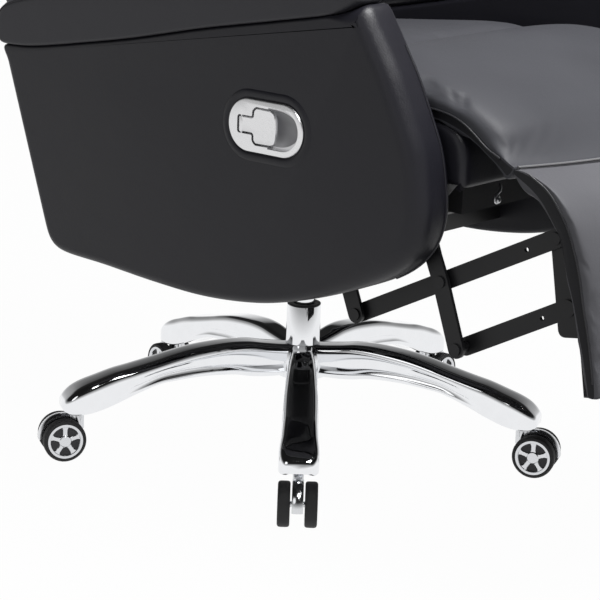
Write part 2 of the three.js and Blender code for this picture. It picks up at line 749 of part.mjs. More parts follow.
function frontLink(sign) {
  const shoulder = crossPivot.clone().add(side(-shoulderSetback, shoulderRise));
  const plate = slab(
    barShape([dropPivot, crossPivot, shoulder, frontPivot], barHalfWidth), ...span(sign, linkInner, linkOuter));
  return join(
    cut(plate, hole(frontPivot, sign, studRadius + pivotPlay)),
    ...rivet(crossPivot, sign, linkInner, longOuter, longInner),
    rivetHead(crossPivot, sign, linkOuter, 1),
    ...rivet(dropPivot, sign, linkInner, lowerOuter, lowerInner),
    rivetHead(dropPivot, sign, linkOuter, 1));
}

function longBar(sign) {
  const plate = slab(barShape([longBarRear, longBarFront], barHalfWidth), ...span(sign, longInner, longOuter));
  return join(
    cut(plate,
      hole(longBarRear, sign, pinRadius + pivotPlay),
      hole(crossPivot, sign, pinRadius + pivotPlay),
      hole(polar(longBarFront, -toolingHoleSetback, barTilt), sign, toolingHoleRadius)),
    ...rivet(longBarFront, sign, longInner, bracketOuter, bracketInner),
    rivetHead(longBarFront, sign, longOuter, 1));
}

function lowerBar(sign) {
  const plate = slab(barShape([dropPivot, openPivot], barHalfWidth), ...span(sign, lowerInner, lowerOuter));
  const heading = openPivot.clone().sub(dropPivot).normalize().multiplyScalar(toolingHoleSetback);
  return join(
    cut(plate,
      hole(dropPivot, sign, pinRadius + pivotPlay),
      hole(openPivot.clone().sub(heading), sign, toolingHoleRadius)),
    ...openRivet(openPivot, sign));
}

// The bracket's lower pivot is the one left open: its hole is wide, and the head covers it.
function openRivet(point, sign) {
  const seat = bracketOuter + touchGap;
  return [
    rod(point, pinRadius, ...span(sign, lowerOuter - 1, seat + 1)),
    rod(point, pinRadius + openPivotPlay + 1, ...span(sign, seat, seat + pinHeadHeight), roundSides),
  ];
}

// Footrest board, its brackets and its pad follow the board's back face.
const footboardAxis = side(Math.sin(degrees(footboardTilt)), -Math.cos(degrees(footboardTilt)));
const footboardNormal = side(Math.cos(degrees(footboardTilt)), Math.sin(degrees(footboardTilt)));
const footboardTop = longBarFront.clone().add(side(footboardLead, footboardRise));
const onBoard = (down, out) => footboardTop.clone()
  .addScaledVector(footboardAxis, down).addScaledVector(footboardNormal, out);

function footboard() {
  const shape = new THREE.Shape([
    onBoard(0, 0), onBoard(footboardLength, 0),
    onBoard(footboardLength, footboardThickness), onBoard(0, footboardThickness),
  ]);
  return slab(shape, -footboardHalfWidth, footboardHalfWidth, bracketThickness / 2, 1);
}

function bracket(sign) {
  const outline = new THREE.Shape();
  const back = -touchGap;
  const depth = -bracketDepth;
  outline.moveTo(...onBoard(0, back));
  outline.lineTo(...onBoard(bracketLength, back));
  outline.lineTo(...onBoard(bracketLength, depth + bracketCornerRadius));
  outline.quadraticCurveTo(...onBoard(bracketLength, depth), ...onBoard(bracketLength - bracketCornerRadius, depth));
  outline.lineTo(...onBoard(bracketCornerRadius, depth));
  outline.quadraticCurveTo(...onBoard(-bracketCornerRadius, depth), ...onBoard(-bracketCornerRadius, depth / 2));
  outline.closePath();
  const tab = new THREE.Shape([
    onBoard(0, back), onBoard(bracketTabLength, back),
    onBoard(bracketTabLength, back - bracketThickness), onBoard(0, back - bracketThickness),
  ]);
  return cut(
    join(
      slab(outline, ...span(sign, bracketInner, bracketOuter)),
      slab(tab, ...span(sign, bracketInner - bracketTabWidth, bracketOuter))),
    hole(longBarFront, sign, pinRadius + pivotPlay),
    hole(openPivot, sign, pinRadius + openPivotPlay));
}

for (const [word, sign] of handed) {
  addTo(lifted, `side_plate_${word}`, sidePlate(sign), 'black_steel');
  addTo(lifted, `rear_link_${word}`, rearLink(sign), 'black_steel');
  addTo(lifted, `front_link_${word}`, frontLink(sign), 'black_steel');
  addTo(lifted, `long_bar_${word}`, longBar(sign), 'black_steel');
  addTo(lifted, `lower_bar_${word}`, lowerBar(sign), 'black_steel');
  addTo(lifted, `footrest_bracket_${word}`, bracket(sign), 'black_steel');
}
const tubeEnd = linkInner - touchGap;
addTo(lifted, 'drive_tube', cut(
  rod(frontPivot, driveTubeRadius, -tubeEnd, tubeEnd),
  rod(frontPivot, driveTubeRadius - driveTubeWall, -tubeEnd - overrun, tubeEnd + overrun)), 'black_steel');
addTo(lifted, 'footrest_board', footboard(), 'vinyl');

const fromKnee = (distance, angle) => polar(kneeLine, distance, angle);
const footPadInner = [
  fromKnee(footPadThickness, footFaceAngle),
  onBoard(-footPadThickness, -footPadThickness * 0.62),
  onBoard(-footPadThickness * 0.28, footboardThickness * 0.35),
  onBoard(-footPadThickness * 0.12, footboardThickness + 12 * touchGap),
  onBoard(footPadThickness, footboardThickness + 3 * touchGap),
  onBoard(footboardLength / 2, footboardThickness + touchGap),
  onBoard(footboardLength, footboardThickness + touchGap),
];
const footPadOuter = footPadCrownShares.map(([reach, drop]) =>
  kneeLine.clone().add(side(footPadReach * reach, -footPadDrop * drop)));
addTo(lifted, 'footrest_pad', cushion(footPadInner, footPadOuter, footPadHalfWidth, {
  sidePower: 4, endPower: 14, rows: 18, columns: 14,
}), 'leather');

// Seat: the covered frame with its rounded nose, its front rail and two cushions.

function seatBox() {
  const [topRear, topFront] = placed(seatBoxOutlineShares, seatRear, seatBoxFront, seatBoxBottom, seatBoxTop);
  const nose = lerp(seatBoxBottom, seatBoxTop, seatBoxNoseShare);
  const shape = new THREE.Shape();
  shape.moveTo(seatRear, seatBoxBottom);
  shape.lineTo(seatBoxFront, seatBoxBottom);
  shape.lineTo(seatBoxFront, nose);
  shape.quadraticCurveTo(seatBoxFront, seatBoxTop, topFront.x, topFront.y);
  shape.lineTo(topRear.x, topRear.y);
  shape.closePath();
  return slab(shape, -seatBoxHalfWidth, seatBoxHalfWidth, seatBoxRound, 2);
}
addTo(lifted, 'seat_box', seatBox(), 'vinyl');

const [boxTopRear, boxTopFront] = placed(seatBoxOutlineShares, seatRear, seatBoxFront, seatBoxBottom, seatBoxTop);
const onBoxTop = (y) => new THREE.Vector2(y, lerp(
  boxTopRear.y, boxTopFront.y, (y - boxTopRear.x) / (boxTopFront.x - boxTopRear.x)) + touchGap);
addTo(lifted, 'seat_cushion', cushion(
  [onBoxTop(seatRear), onBoxTop((seatRear + seatCushionFront) / 2), onBoxTop(seatCushionFront)],
  placed(seatCushionTopShares, seatRear, seatCushionFront, seatBoxBottom + touchGap, seatCrownHeight),
  seatHalfWidth, { sidePower: 6, endPower: 9, rows: 12, columns: 14 }), 'leather');

const kneeRear = seatCushionFront - creaseGap;
addTo(lifted, 'knee_pad', cushion(
  [
    onBoxTop(kneeRear), onBoxTop((kneeRear + boxTopFront.x) / 2),
    onBoxTop(boxTopFront.x).add(new THREE.Vector2(0, 6 * touchGap)),
    ...placed(kneeInnerShares, kneeRear, kneeLine.x, kneeLine.y, seatCrownHeight),
    fromKnee(footPadThickness, kneeFaceAngle),
  ],
  placed(kneeTopShares, kneeRear, kneeLine.x, kneeLine.y, seatCrownHeight),
  seatHalfWidth, { sidePower: 5, endPower: 14, rows: 16, columns: 14 }), 'leather');

addTo(lifted, 'seat_front_rail', box(
  -seatRailHalfWidth, seatRailHalfWidth, -seatRailForward - seatRailThickness, -seatRailForward,
  seatRailBottom, seatBoxBottom - touchGap), 'vinyl');

function springHook() {
  const top = seatBoxBottom - touchGap;
  const eye = top - hookStem - hookRadius;
  const points = [new THREE.Vector3(0, 0, top - hookWire)];
  const turnSteps = 10;
  for (let i = 0; i <= turnSteps; i++) {
    const angle = Math.PI / 2 + (Math.PI * 1.55 * i) / turnSteps;
    points.push(new THREE.Vector3(hookRadius * Math.cos(angle), 0, eye + hookRadius * Math.sin(angle)));
  }
  const section = new THREE.Shape().absarc(0, 0, hookWire, 0, 2 * Math.PI, false);
  const wire = new THREE.ExtrudeGeometry(section, {
    steps: 22, curveSegments: 4, extrudePath: new THREE.CatmullRomCurve3(points),
  });
  return join(solid(wire), turnedPlug(hookFlangeRadius, top - 2 * hookFlangeHeight, top, 12))
    .translate(hookAcross, -hookForward, 0);
}
addTo(lifted, 'spring_hook', springHook(), 'satin');

// Arms: an upholstered panel whose front edge sweeps up to the long pad on its top.

const armBox = (shares) => placed(shares, armRear, armFront, armBottom, armTop);
const [handlePlace] = armBox([handlePlaceShare]);
const handleForward = -handlePlace.x;
const handleHeight = handlePlace.y;

// A curve with straight edges at its two ends.
function follow(shape, points) {
  shape.lineTo(...points[0]);
  shape.lineTo(...points[1]);
  shape.splineThru(points.slice(2, -1));
  shape.lineTo(...points.at(-1));
}

function armOutline() {
  const foot = armBox(armPadFootShares);
  const shape = new THREE.Shape();
  shape.moveTo(...foot.at(-1));
  follow(shape, armBox(armOutlineShares));
  follow(shape, foot);
  return shape;
}

function armPadOutline() {
  const foot = armBox(armPadFootShares).map((p) => p.add(new THREE.Vector2(0, touchGap)));
  const crown = armBox(armPadCrownShares);
  const shape = new THREE.Shape();
  shape.moveTo(...crown[0]);
  follow(shape, crown.slice(1));
  follow(shape, foot);
  shape.closePath();
  return shape;
}

function stadium(length, height, forward = handleForward, up = handleHeight) {
  const shape = new THREE.Shape();
  const radius = height / 2;
  const run = (length - height) / 2;
  const quarter = Math.PI / 2;
  shape.absarc(-forward + run, up, radius, -quarter, quarter, false);
  shape.absarc(-forward - run, up, radius, quarter, 3 * quarter, false);
  shape.closePath();
  return shape;
}

const armOuter = armInner + armThickness;
const cupLength = bezelLength - 2 * cupInset;
const cupHeight = bezelHeight - 2 * cupInset;
for (const [word, sign] of handed) {
  let body = slab(armOutline(), ...span(sign, armInner, armOuter), armEdgeRound, 3, armCurveSteps);
  if (sign < 0) {
    const pocket = bezelWall + touchGap;
    body = cut(body, slab(stadium(cupLength + 2 * pocket, cupHeight + 2 * pocket),
      -armOuter - overrun, -armOuter + bezelDepth + touchGap));
  }
  const pad = slab(armPadOutline(), ...span(sign, armInner, armOuter + armPadOverhang), armPadRound, 3, armCurveSteps);
  addTo(lifted, `arm_body_${word}`, body, 'leather');
  addTo(lifted, `arm_pad_${word}`, pad, 'leather');
}

// Recessed handle: a rim on the arm's face, a ledge for the lever and a rounded finger cup in front.

const faceX = -armOuter - touchGap;
const leverRear = -handleForward + bezelLength / 2 - leverRearInset;
const leverNear = faceX - bezelRim;
const leverHinge = new THREE.Vector2(leverNear + leverThickness / 2, leverRear - leverPinRadius - leverBarrelWall);
const upright = (radius, halfHeight) => turnedPlug(radius, handleHeight - halfHeight, handleHeight + halfHeight, pinSides)
  .translate(leverHinge.x, leverHinge.y, 0);

function handleBezel() {
  const rim = slab(stadium(bezelLength, bezelHeight), faceX - bezelRim, faceX, bezelRim / 2, 1);
  const shell = slab(stadium(cupLength + 2 * bezelWall, cupHeight + 2 * bezelWall), faceX - bezelRim / 2, faceX + bezelDepth);
  const ledge = slab(stadium(cupLength, cupHeight), faceX - bezelRim - overrun, faceX + bezelLedgeDepth - bezelRim);
  const scoop = new THREE.SphereGeometry(1, 20, 12);
  scoop.scale(bezelDepth - bezelWall, cupLength * 0.33, cupHeight / 2);
  scoop.translate(faceX, -handleForward - cupLength * 0.16, handleHeight);
  return join(cut(join(rim, shell), ledge, solid(scoop)), upright(leverPinRadius, cupHeight * 0.4));
}
addTo(lifted, 'handle_bezel', handleBezel(), 'satin');

// T-shaped lever: a narrow tail hinged on an upright pin at the rear, and a tall paddle over the cup.
function pullLever() {
  const front = leverRear - leverTailLength - leverPaddleLength;
  const outline = new THREE.Shape();
  const tail = leverTailHeight / 2;
  const paddle = leverPaddleHeight / 2;
  const neck = leverRear - leverTailLength;
  const soft = leverCorner;
  outline.moveTo(leverRear, handleHeight - tail);
  outline.lineTo(leverRear, handleHeight + tail);
  outline.lineTo(neck, handleHeight + tail);
  outline.lineTo(neck, handleHeight + paddle - soft);
  outline.lineTo(neck - soft, handleHeight + paddle);
  outline.quadraticCurveTo(front, handleHeight + paddle, front, handleHeight);
  outline.quadraticCurveTo(front, handleHeight - paddle, neck - soft, handleHeight - paddle);
  outline.lineTo(neck, handleHeight - paddle + soft);
  outline.lineTo(neck, handleHeight - tail);
  outline.closePath();
  return cut(
    join(
      slab(outline, leverNear, leverNear + leverThickness, leverThickness / 4, 1),
      upright(leverPinRadius + leverBarrelWall, tail)),
    upright(leverPinRadius + pivotPlay, leverPaddleHeight));
}
addTo(chair, 'pull_lever', pullLever(), 'satin');

// Back: steel straps from the hinge, an upholstered shell, its cushion and the headrest.

const back = new THREE.Group();
back.position.set(0, backHinge.x, backHinge.y);
back.rotation.x = -degrees(backTilt);
chair.add(back);

// In the back's own frame forward is -Y and up along the back is +Z.
function backShell() {
  const shape = new THREE.Shape();
  const foot = backShellHalfWidth;
  const top = backShellTopHalfWidth;
  const shoulder = backShellTop - backShellCorner;
  shape.moveTo(-foot, backShellFoot);
  shape.lineTo(foot, backShellFoot);
  shape.lineTo(foot, lerp(backShellFoot, backShellTop, 0.5));
  shape.quadraticCurveTo(foot, shoulder - backShellCorner, top, shoulder);
  shape.quadraticCurveTo(top, backShellTop, top - backShellCorner, backShellTop);
  shape.lineTo(backShellCorner - top, backShellTop);
  shape.quadraticCurveTo(-top, backShellTop, -top, shoulder);
  shape.quadraticCurveTo(-foot, shoulder - backShellCorner, -foot, lerp(backShellFoot, backShellTop, 0.5));
  shape.closePath();
  const depth = backShellFront - backShellRear;
  const geometry = new THREE.ExtrudeGeometry(shape, {
    depth: depth - 2 * backShellRound, bevelThickness: backShellRound, bevelSize: backShellRound,
    bevelOffset: -backShellRound, bevelSegments: 3, curveSegments: 6,
  });
  geometry.rotateX(Math.PI / 2);
  geometry.translate(0, -backShellRear - backShellRound, 0);
  return solid(geometry);
}

const forwardOfShell = (shares, from, depth, foot, top) => shares.map(([out, up]) =>
  new THREE.Vector2(-(from + depth * out), lerp(foot, top, up)));
const cushionBase = backShellFront + touchGap;
const backCushionFace = forwardOfShell(
  backCushionFrontShares, cushionBase, backCushionDepth, backCushionFoot, backCushionTop);
const backCushionRear = [0, 0.5, 1].map((up) =>
  new THREE.Vector2(-cushionBase, lerp(backCushionFoot, backCushionTop, up)));
addTo(back, 'back_shell', backShell(), 'leather');
addTo(back, 'back_cushion', cushion(backCushionRear, backCushionFace, backCushionHalfWidth, {
  sidePower: 5, endPower: 12, rows: 30, columns: 14, channelShares: backChannelShares, narrowShare: backCushionNarrowShare,
}), 'leather');

function headrest() {
  const face = new THREE.SplineCurve(backCushionFace);
  const rear = [];
  const front = [];
  const lift = (up) => (up - backCushionFoot) / (backCushionTop - backCushionFoot);
  const samples = 200;
  const points = face.getPoints(samples);
  for (let i = 0; i <= 4; i++) {
    const height = lerp(headrestFoot, headrestTop, i / 4);
    const near = points.reduce((best, p) => (Math.abs(p.y - height) < Math.abs(best.y - height) ? p : best));
    const gap = touchGap * (1 + lift(height));
    rear.push(new THREE.Vector2(near.x - gap, height));
    front.push(new THREE.Vector2(near.x - headrestDepth, height));
  }
  return cushion(rear, front, headrestHalfWidth, { sidePower: 3.4, endPower: 3.4, rows: 11, columns: 12 });
}
addTo(back, 'headrest_pad', headrest(), 'leather');

function backStrap(sign) {
  const hinge = new THREE.Vector2(0, 0);
  const rear = -(backShellRear + backShellFront) / 2;
  const points = [hinge, new THREE.Vector2(rear, -rear * -1), new THREE.Vector2(rear, backStrapReach)];
  return cut(
    slab(barShape(points, backStrapHalfWidth), ...span(sign, linkInner, linkOuter)),
    hole(hinge, sign, pinRadius + pivotPlay));
}
for (const [word, sign] of handed) addTo(back, `back_bracket_${word}`, backStrap(sign), 'black_steel');

// The origin is on the floor, under the middle of the chair's overall box.
const extent = new THREE.Box3().setFromObject(chair);
const middle = extent.getCenter(new THREE.Vector3());
chair.position.set(-middle.x, -middle.y, -extent.min.z);

export default chair;
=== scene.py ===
# %% [markdown]
# # A reclining office chair with a swing-out footrest
# The imported solids give every place and every joint. This lesson dresses them: black leather
# upholstery, a black steel linkage, a recessed satin handle and a polished star base on casters.
# The first step loads the solids as a fixed frame and finds the swivel axis and the floor from the lift tube's
# box.

# %% Load the frame
import json
import math
import bmesh
import bpy
import numpy as np
from mathutils import Matrix, Vector
from mathutils.bvhtree import BVHTree


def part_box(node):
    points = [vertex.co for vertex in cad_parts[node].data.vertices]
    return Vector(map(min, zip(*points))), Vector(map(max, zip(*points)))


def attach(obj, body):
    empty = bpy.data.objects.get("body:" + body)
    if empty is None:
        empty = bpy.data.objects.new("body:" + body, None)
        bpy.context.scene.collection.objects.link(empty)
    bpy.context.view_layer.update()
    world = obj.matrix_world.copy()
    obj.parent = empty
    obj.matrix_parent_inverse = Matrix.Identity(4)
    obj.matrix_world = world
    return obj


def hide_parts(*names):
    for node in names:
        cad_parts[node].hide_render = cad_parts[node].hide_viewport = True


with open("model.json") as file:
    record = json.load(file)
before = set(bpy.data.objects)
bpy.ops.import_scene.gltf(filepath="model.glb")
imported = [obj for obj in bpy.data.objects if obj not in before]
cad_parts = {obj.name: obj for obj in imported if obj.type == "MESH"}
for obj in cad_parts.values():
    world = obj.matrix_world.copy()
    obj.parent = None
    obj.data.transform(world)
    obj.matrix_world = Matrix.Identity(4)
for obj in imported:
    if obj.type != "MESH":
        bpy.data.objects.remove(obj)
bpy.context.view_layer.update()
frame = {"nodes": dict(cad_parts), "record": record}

MM = 0.001
tube_low, tube_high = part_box("lift_tube")
TUBE_FOOT = 109.3 * MM
OFFSET = np.array([(tube_low.x + tube_high.x) / 2, (tube_low.y + tube_high.y) / 2, tube_low.z - TUBE_FOOT])

# %% [markdown]
# ## The camera
# The picture was taken with a long lens from the chair's right front, a little above the arm. The
# camera is set from its measured place, its pitch and a small roll, and it has no shift.

# %% Camera
LENS = 130.83
SENSOR = 36.0
VIEW_AZIMUTH = math.radians(-50)
VIEW_PITCH = math.radians(14.878)
VIEW_ROLL = math.radians(2.008)
CAMERA_PLACE = np.array([-2295.1, -1918.1, 1004.0])

back_axis = Vector((math.sin(VIEW_AZIMUTH) * math.cos(VIEW_PITCH),
                    -math.cos(VIEW_AZIMUTH) * math.cos(VIEW_PITCH), math.sin(VIEW_PITCH)))
level_axis = Vector((math.cos(VIEW_AZIMUTH), math.sin(VIEW_AZIMUTH), 0))
rise_axis = back_axis.cross(level_axis)
right_axis = level_axis * math.cos(VIEW_ROLL) + rise_axis * math.sin(VIEW_ROLL)
up_axis = rise_axis * math.cos(VIEW_ROLL) - level_axis * math.sin(VIEW_ROLL)

camera_data = bpy.data.cameras.new("camera")
camera_data.lens = LENS
camera_data.sensor_width = SENSOR
camera_data.sensor_fit = "HORIZONTAL"
camera_data.clip_end = 50
camera = bpy.data.objects.new("camera", camera_data)
bpy.context.collection.objects.link(camera)
turn = Matrix((right_axis, up_axis, back_axis)).transposed().to_4x4()
camera.matrix_world = Matrix.Translation(CAMERA_PLACE * MM + OFFSET) @ turn
bpy.context.scene.camera = camera
bpy.context.scene.view_settings.view_transform = "Standard"
print("camera at", [round(v, 3) for v in camera.location])

# %% [markdown]
# ## Shader maths
# Node trees are easier to read as sums. A small class wraps a socket, and the usual operators on it
# add Math nodes. Any other node comes from one method, which sets its settings first and then
# fills or links its sockets.

# %% A socket that can be added and multiplied
class Value:
    def __init__(self, tree, socket):
        self.tree = tree
        self.socket = socket

    def math(self, operation, first, second=0.0, **settings):
        return self.tree.node("ShaderNodeMath", {"operation": operation, **settings}, {0: first, 1: second})

    def __add__(self, other):
        return self.math("ADD", self, other)

    def __radd__(self, other):
        return self.math("ADD", other, self)

    def __sub__(self, other):
        return self.math("SUBTRACT", self, other)

    def __mul__(self, other):
        return self.math("MULTIPLY", self, other)

    def __pow__(self, other):
        return self.math("POWER", self, other)

    def sine(self):
        return self.math("SINE", self)

    def clamped(self):
        return self.math("ADD", self, 0.0, use_clamp=True)


class Nodes:
    """A node tree with one method for any node."""

    def __init__(self, tree):
        self.tree = tree

    def node(self, kind, settings=None, inputs=None, output=0):
        made = self.tree.nodes.new(kind)
        for key, value in (settings or {}).items():
            if key == "stops":
                ramp = made.color_ramp
                while len(ramp.elements) < len(value):
                    ramp.elements.new(0.5)
                for element, (position, colour) in zip(ramp.elements, value):
                    element.position = position
                    element.color = colour
            else:
                setattr(made, key, value)
        for key, value in (inputs or {}).items():
            if isinstance(value, Value):
                self.tree.links.new(value.socket, made.inputs[key])
            else:
                made.inputs[key].default_value = value
        return Value(self, made.outputs[output])


class Finish(Nodes):
    """One material with its principled shader."""

    def __init__(self, name):
        self.material = bpy.data.materials.new(name)
        self.material.use_nodes = True
        super().__init__(self.material.node_tree)
        self.shader = self.tree.nodes["Principled BSDF"]
        self.output = self.tree.nodes["Material Output"]

    def place(self, stretch=(1, 1, 1)):
        coordinates = self.node("ShaderNodeTexCoord", output="Object")
        return self.node("ShaderNodeMapping", None, {"Vector": coordinates, "Scale": stretch})

    def noise(self, scale, detail=3.0, roughness=0.5, where=None):
        return self.node("ShaderNodeTexNoise", None, {
            "Vector": where or self.place(), "Scale": scale, "Detail": detail, "Roughness": roughness})

    def cells(self, scale):
        return self.node("ShaderNodeTexVoronoi", None, {"Vector": self.place(), "Scale": scale}, "Distance")

    def blend(self, factor, first, second):
        return self.node("ShaderNodeMix", {"data_type": "RGBA"}, {
            0: factor, 6: (*first, 1) if isinstance(first, tuple) else first,
            7: (*second, 1) if isinstance(second, tuple) else second}, 2)

    def bump(self, height, distance, strength=1.0, over=None):
        inputs = {"Height": height, "Distance": distance, "Strength": strength}
        if over:
            inputs["Normal"] = over
        return self.node("ShaderNodeBump", None, inputs)

    def set(self, **sockets):
        for key, value in sockets.items():
            name = key.replace("_", " ")
            if isinstance(value, Value):
                self.tree.links.new(value.socket, self.shader.inputs[name])
            else:
                self.shader.inputs[name].default_value = value
        return self.material


print("shader helpers ready")

# %% [markdown]
# ## Leather
# The cover is smooth black upholstery leather with a soft, broad shine. Its grain is a field of
# millimetre cells, with a few longer creases over it. Where the grain is high the surface is
# polished by wear, so the same field also drives the roughness.

# %% Leather tones
def leather(name, dark, light, shine=0.42, crease=0.0009, grain=620.0, specular=0.3):
    f = Finish(name)
    pores = f.cells(grain)
    fine = f.noise(grain * 1.7, 2.0)
    folds = f.noise(34.0, 4.0, 0.55, f.place((1.0, 0.55, 1.0)))
    tone = f.noise(7.0, 2.0)
    worn = (tone * 0.7 + fine * 0.3).clamped()
    grained = f.bump(pores * 0.8 + fine * 0.35, 0.00018, 0.45)
    creased = f.bump(folds, crease, 0.55, grained)
    rough = tone * 0.10 + pores * 0.10 + (shine - 0.09)
    return f.set(Base_Color=f.blend(worn, dark, light), Roughness=rough, Normal=creased,
                 Specular_IOR_Level=specular)


BODY_LEATHER = leather("arm_leather", (0.008, 0.0078, 0.0112), (0.0125, 0.0122, 0.0172), 0.42)
# The armrest pad is the same black leather painted lighter: painted light for the light on its rounded top and
# band.
PAD_LEATHER_PAINTED_LIT = leather("pad_leather", (0.024, 0.0238, 0.0285), (0.036, 0.0358, 0.0425), 0.40)
# The cushions are the same black leather painted lighter: painted light for their faces that meet the lamps from
# above.
SEAT_LEATHER_PAINTED_LIT = leather("seat_leather", (0.037, 0.0375, 0.043), (0.055, 0.056, 0.063), 0.5, 0.0014,
                       specular=0.16)
# The boxing leather is painted darker than the black: painted shade on the pads' side faces.
BOXING_LEATHER_PAINTED_SHADE = leather("boxing_leather", (0.006, 0.006, 0.0075), (0.010, 0.010, 0.012), 0.5, specular=0.2)
PIPING_LEATHER = leather("piping_leather", (0.012, 0.012, 0.014), (0.03, 0.03, 0.034), 0.34, 0.0002, 1400.0)
# The seam leather is a pale copy of the black: a painted highlight on the bead along the knee seam.
SEAM_LEATHER_PAINTED_HIGHLIGHT = leather("seam_leather", (0.10, 0.10, 0.105), (0.16, 0.16, 0.165), 0.34, 0.0002, 1400.0)
# The leg pad is the same black leather painted much lighter: painted light for the strong light from above on the
# raised pad.
LEG_LEATHER_PAINTED_LIT = leather("leg_leather", (0.070, 0.070, 0.077), (0.10, 0.10, 0.109), 0.5, 0.0012,
                      specular=0.12)
print("leathers:", [m.name for m in bpy.data.materials if "leather" in m.name])

# %% [markdown]
# ## Metals, rubber and the woven cover
# Polished chrome is nearly a mirror, with only the faintest waviness. The handle is brushed, so its
# roughness runs in fine streaks. The linkage is steel with satin black paint: slightly uneven, with
# small specks. The rail and the footrest board wear a tight black weave.

# %% Hard finishes
def polished(name, colour, rough, wave=0.00003, metal=1.0):
    f = Finish(name)
    ripple = f.noise(16.0, 1.0)
    smear = f.noise(60.0, 4.0)
    return f.set(Base_Color=f.blend(smear, colour, tuple(0.94 * c for c in colour)), Metallic=metal,
                 Roughness=smear * 0.03 + rough, Normal=f.bump(ripple, wave, 0.4))


def brushed(name, colour, rough, stretch=(40.0, 3.0, 40.0)):
    f = Finish(name)
    streaks = f.noise(60.0, 3.0, 0.6, f.place(stretch))
    return f.set(Base_Color=f.blend(streaks, colour, tuple(0.8 * c for c in colour)), Metallic=1.0,
                 Roughness=streaks * 0.16 + rough, Normal=f.bump(streaks, 0.00005, 0.25))


def painted(name, dark, light, rough):
    f = Finish(name)
    orange_peel = f.noise(420.0, 2.0)
    patches = f.noise(22.0, 4.0)
    edge_wear = (f.noise(90.0, 5.0, 0.7) ** 6.0).clamped()
    return f.set(Base_Color=f.blend(patches * 0.6 + edge_wear, dark, light), Roughness=patches * 0.14 + rough,
                 Normal=f.bump(orange_peel, 0.00012, 0.3), Specular_IOR_Level=0.28)


def rubbery(name, dark, light, rough, grain=900.0):
    f = Finish(name)
    dust = f.noise(48.0, 4.0)
    grit = f.cells(grain)
    return f.set(Base_Color=f.blend(dust, dark, light), Roughness=dust * 0.15 + rough,
                 Normal=f.bump(grit, 0.00012, 0.35))


def woven(name, dark, light, pitch=0.0016):
    f = Finish(name)
    turns = 2 * math.pi / pitch
    axes = f.node("ShaderNodeSeparateXYZ", None, {0: f.place()})
    along = Value(f, axes.socket.node.outputs[1]) + Value(f, axes.socket.node.outputs[2])
    across = Value(f, axes.socket.node.outputs[0])
    threads = (across * turns).sine() * (along * turns).sine() * 0.5 + 0.5
    lint = f.noise(200.0, 3.0)
    return f.set(Base_Color=f.blend((threads * 0.8 + lint * 0.2).clamped(), dark, light),
                 Roughness=0.82 + lint * 0.1, Normal=f.bump(threads, 0.0004, 0.6))


CHROME = polished("polished_chrome", (0.86, 0.87, 0.89), 0.035)
SATIN = brushed("satin_metal", (0.80, 0.80, 0.81), 0.20)
# The finger cup is only partly metal, so its pale base shows as diffuse grey: a painted reflection in place of the
# bright floor the polished cup mirrors.
CUP_CHROME_PAINTED_REFLECTION = polished("cup_chrome", (0.82, 0.82, 0.84), 0.22, metal=0.4)
GROUND_STEEL = brushed("ground_steel", (0.55, 0.56, 0.57), 0.3)
BLACK_PAINT = painted("black_paint", (0.005, 0.005, 0.006), (0.013, 0.013, 0.014), 0.36)
RUBBER = rubbery("tyre_rubber", (0.010, 0.010, 0.011), (0.024, 0.024, 0.025), 0.62)
PLASTIC = rubbery("black_plastic", (0.012, 0.012, 0.013), (0.022, 0.022, 0.024), 0.42, 1500.0)
WINDOW = rubbery("window_plastic", (0.018, 0.018, 0.020), (0.05, 0.05, 0.055), 0.5, 400.0)
SILVER = polished("silver_ring", (0.70, 0.71, 0.73), 0.16, 0.00002)
PALE_WEAVE = woven("pale_weave", (0.05, 0.05, 0.052), (0.20, 0.20, 0.205))
WEAVE = woven("woven_cover", (0.003, 0.003, 0.0035), (0.014, 0.014, 0.016))
print("finishes:", len(bpy.data.materials))

# %% [markdown]
# ## Mesh helpers
# All shapes are worked out in millimetres around the chair's swivel axis, and moved into the frame
# when their mesh is made. A skin through equal rings covers most pieces: turned parts, tubes,
# swept strips and panels.

# %% Skins, turned parts and tubes
WELD = 1e-6
SPLINE_STEPS = 40


def turn_outward(mesh, weld=False):
    shell = bmesh.new()
    shell.from_mesh(mesh)
    if weld:
        bmesh.ops.remove_doubles(shell, verts=shell.verts, dist=WELD)
    bmesh.ops.recalc_face_normals(shell, faces=shell.faces)
    shell.to_mesh(mesh)
    shell.free()


def finish_piece(obj, body, material, replaced=(), sharp=38):
    """Smooth shading up to a sharp angle, then material, body and the solids it stands for."""
    mesh = obj.data
    turn_outward(mesh, weld=True)
    mesh.shade_smooth()
    mesh.set_sharp_from_angle(angle=math.radians(sharp))
    if material:
        mesh.materials.clear()
        mesh.materials.append(material)
    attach(obj, body)
    if replaced:
        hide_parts(*replaced)
    return obj


def piece(name, points, faces, body=None, slot=None, material=None, replaced=(), sharp=38):
    mesh = bpy.data.meshes.new(name)
    mesh.from_pydata((np.array(points, float) * MM + OFFSET).tolist(), [], faces)
    obj = bpy.data.objects.new(name, mesh)
    bpy.context.collection.objects.link(obj)
    return finish_piece(obj, body, material, replaced, sharp) if body else obj


def skin(rings, closed_ends=True, loop=False):
    """Points and faces of a skin through rings that have equal counts."""
    count = len(rings[0])
    points = [tuple(p) for ring in rings for p in ring]
    faces = []
    total = len(rings)
    for i in range(total if loop else total - 1):
        for j in range(count):
            a, b = i * count + j, i * count + (j + 1) % count
            c, d = ((i + 1) % total) * count + (j + 1) % count, ((i + 1) % total) * count + j
            faces.append((a, b, c, d))
    if closed_ends and not loop:
        faces.append(tuple(range(count))[::-1])
        faces.append(tuple(range((total - 1) * count, total * count)))
    return points, faces


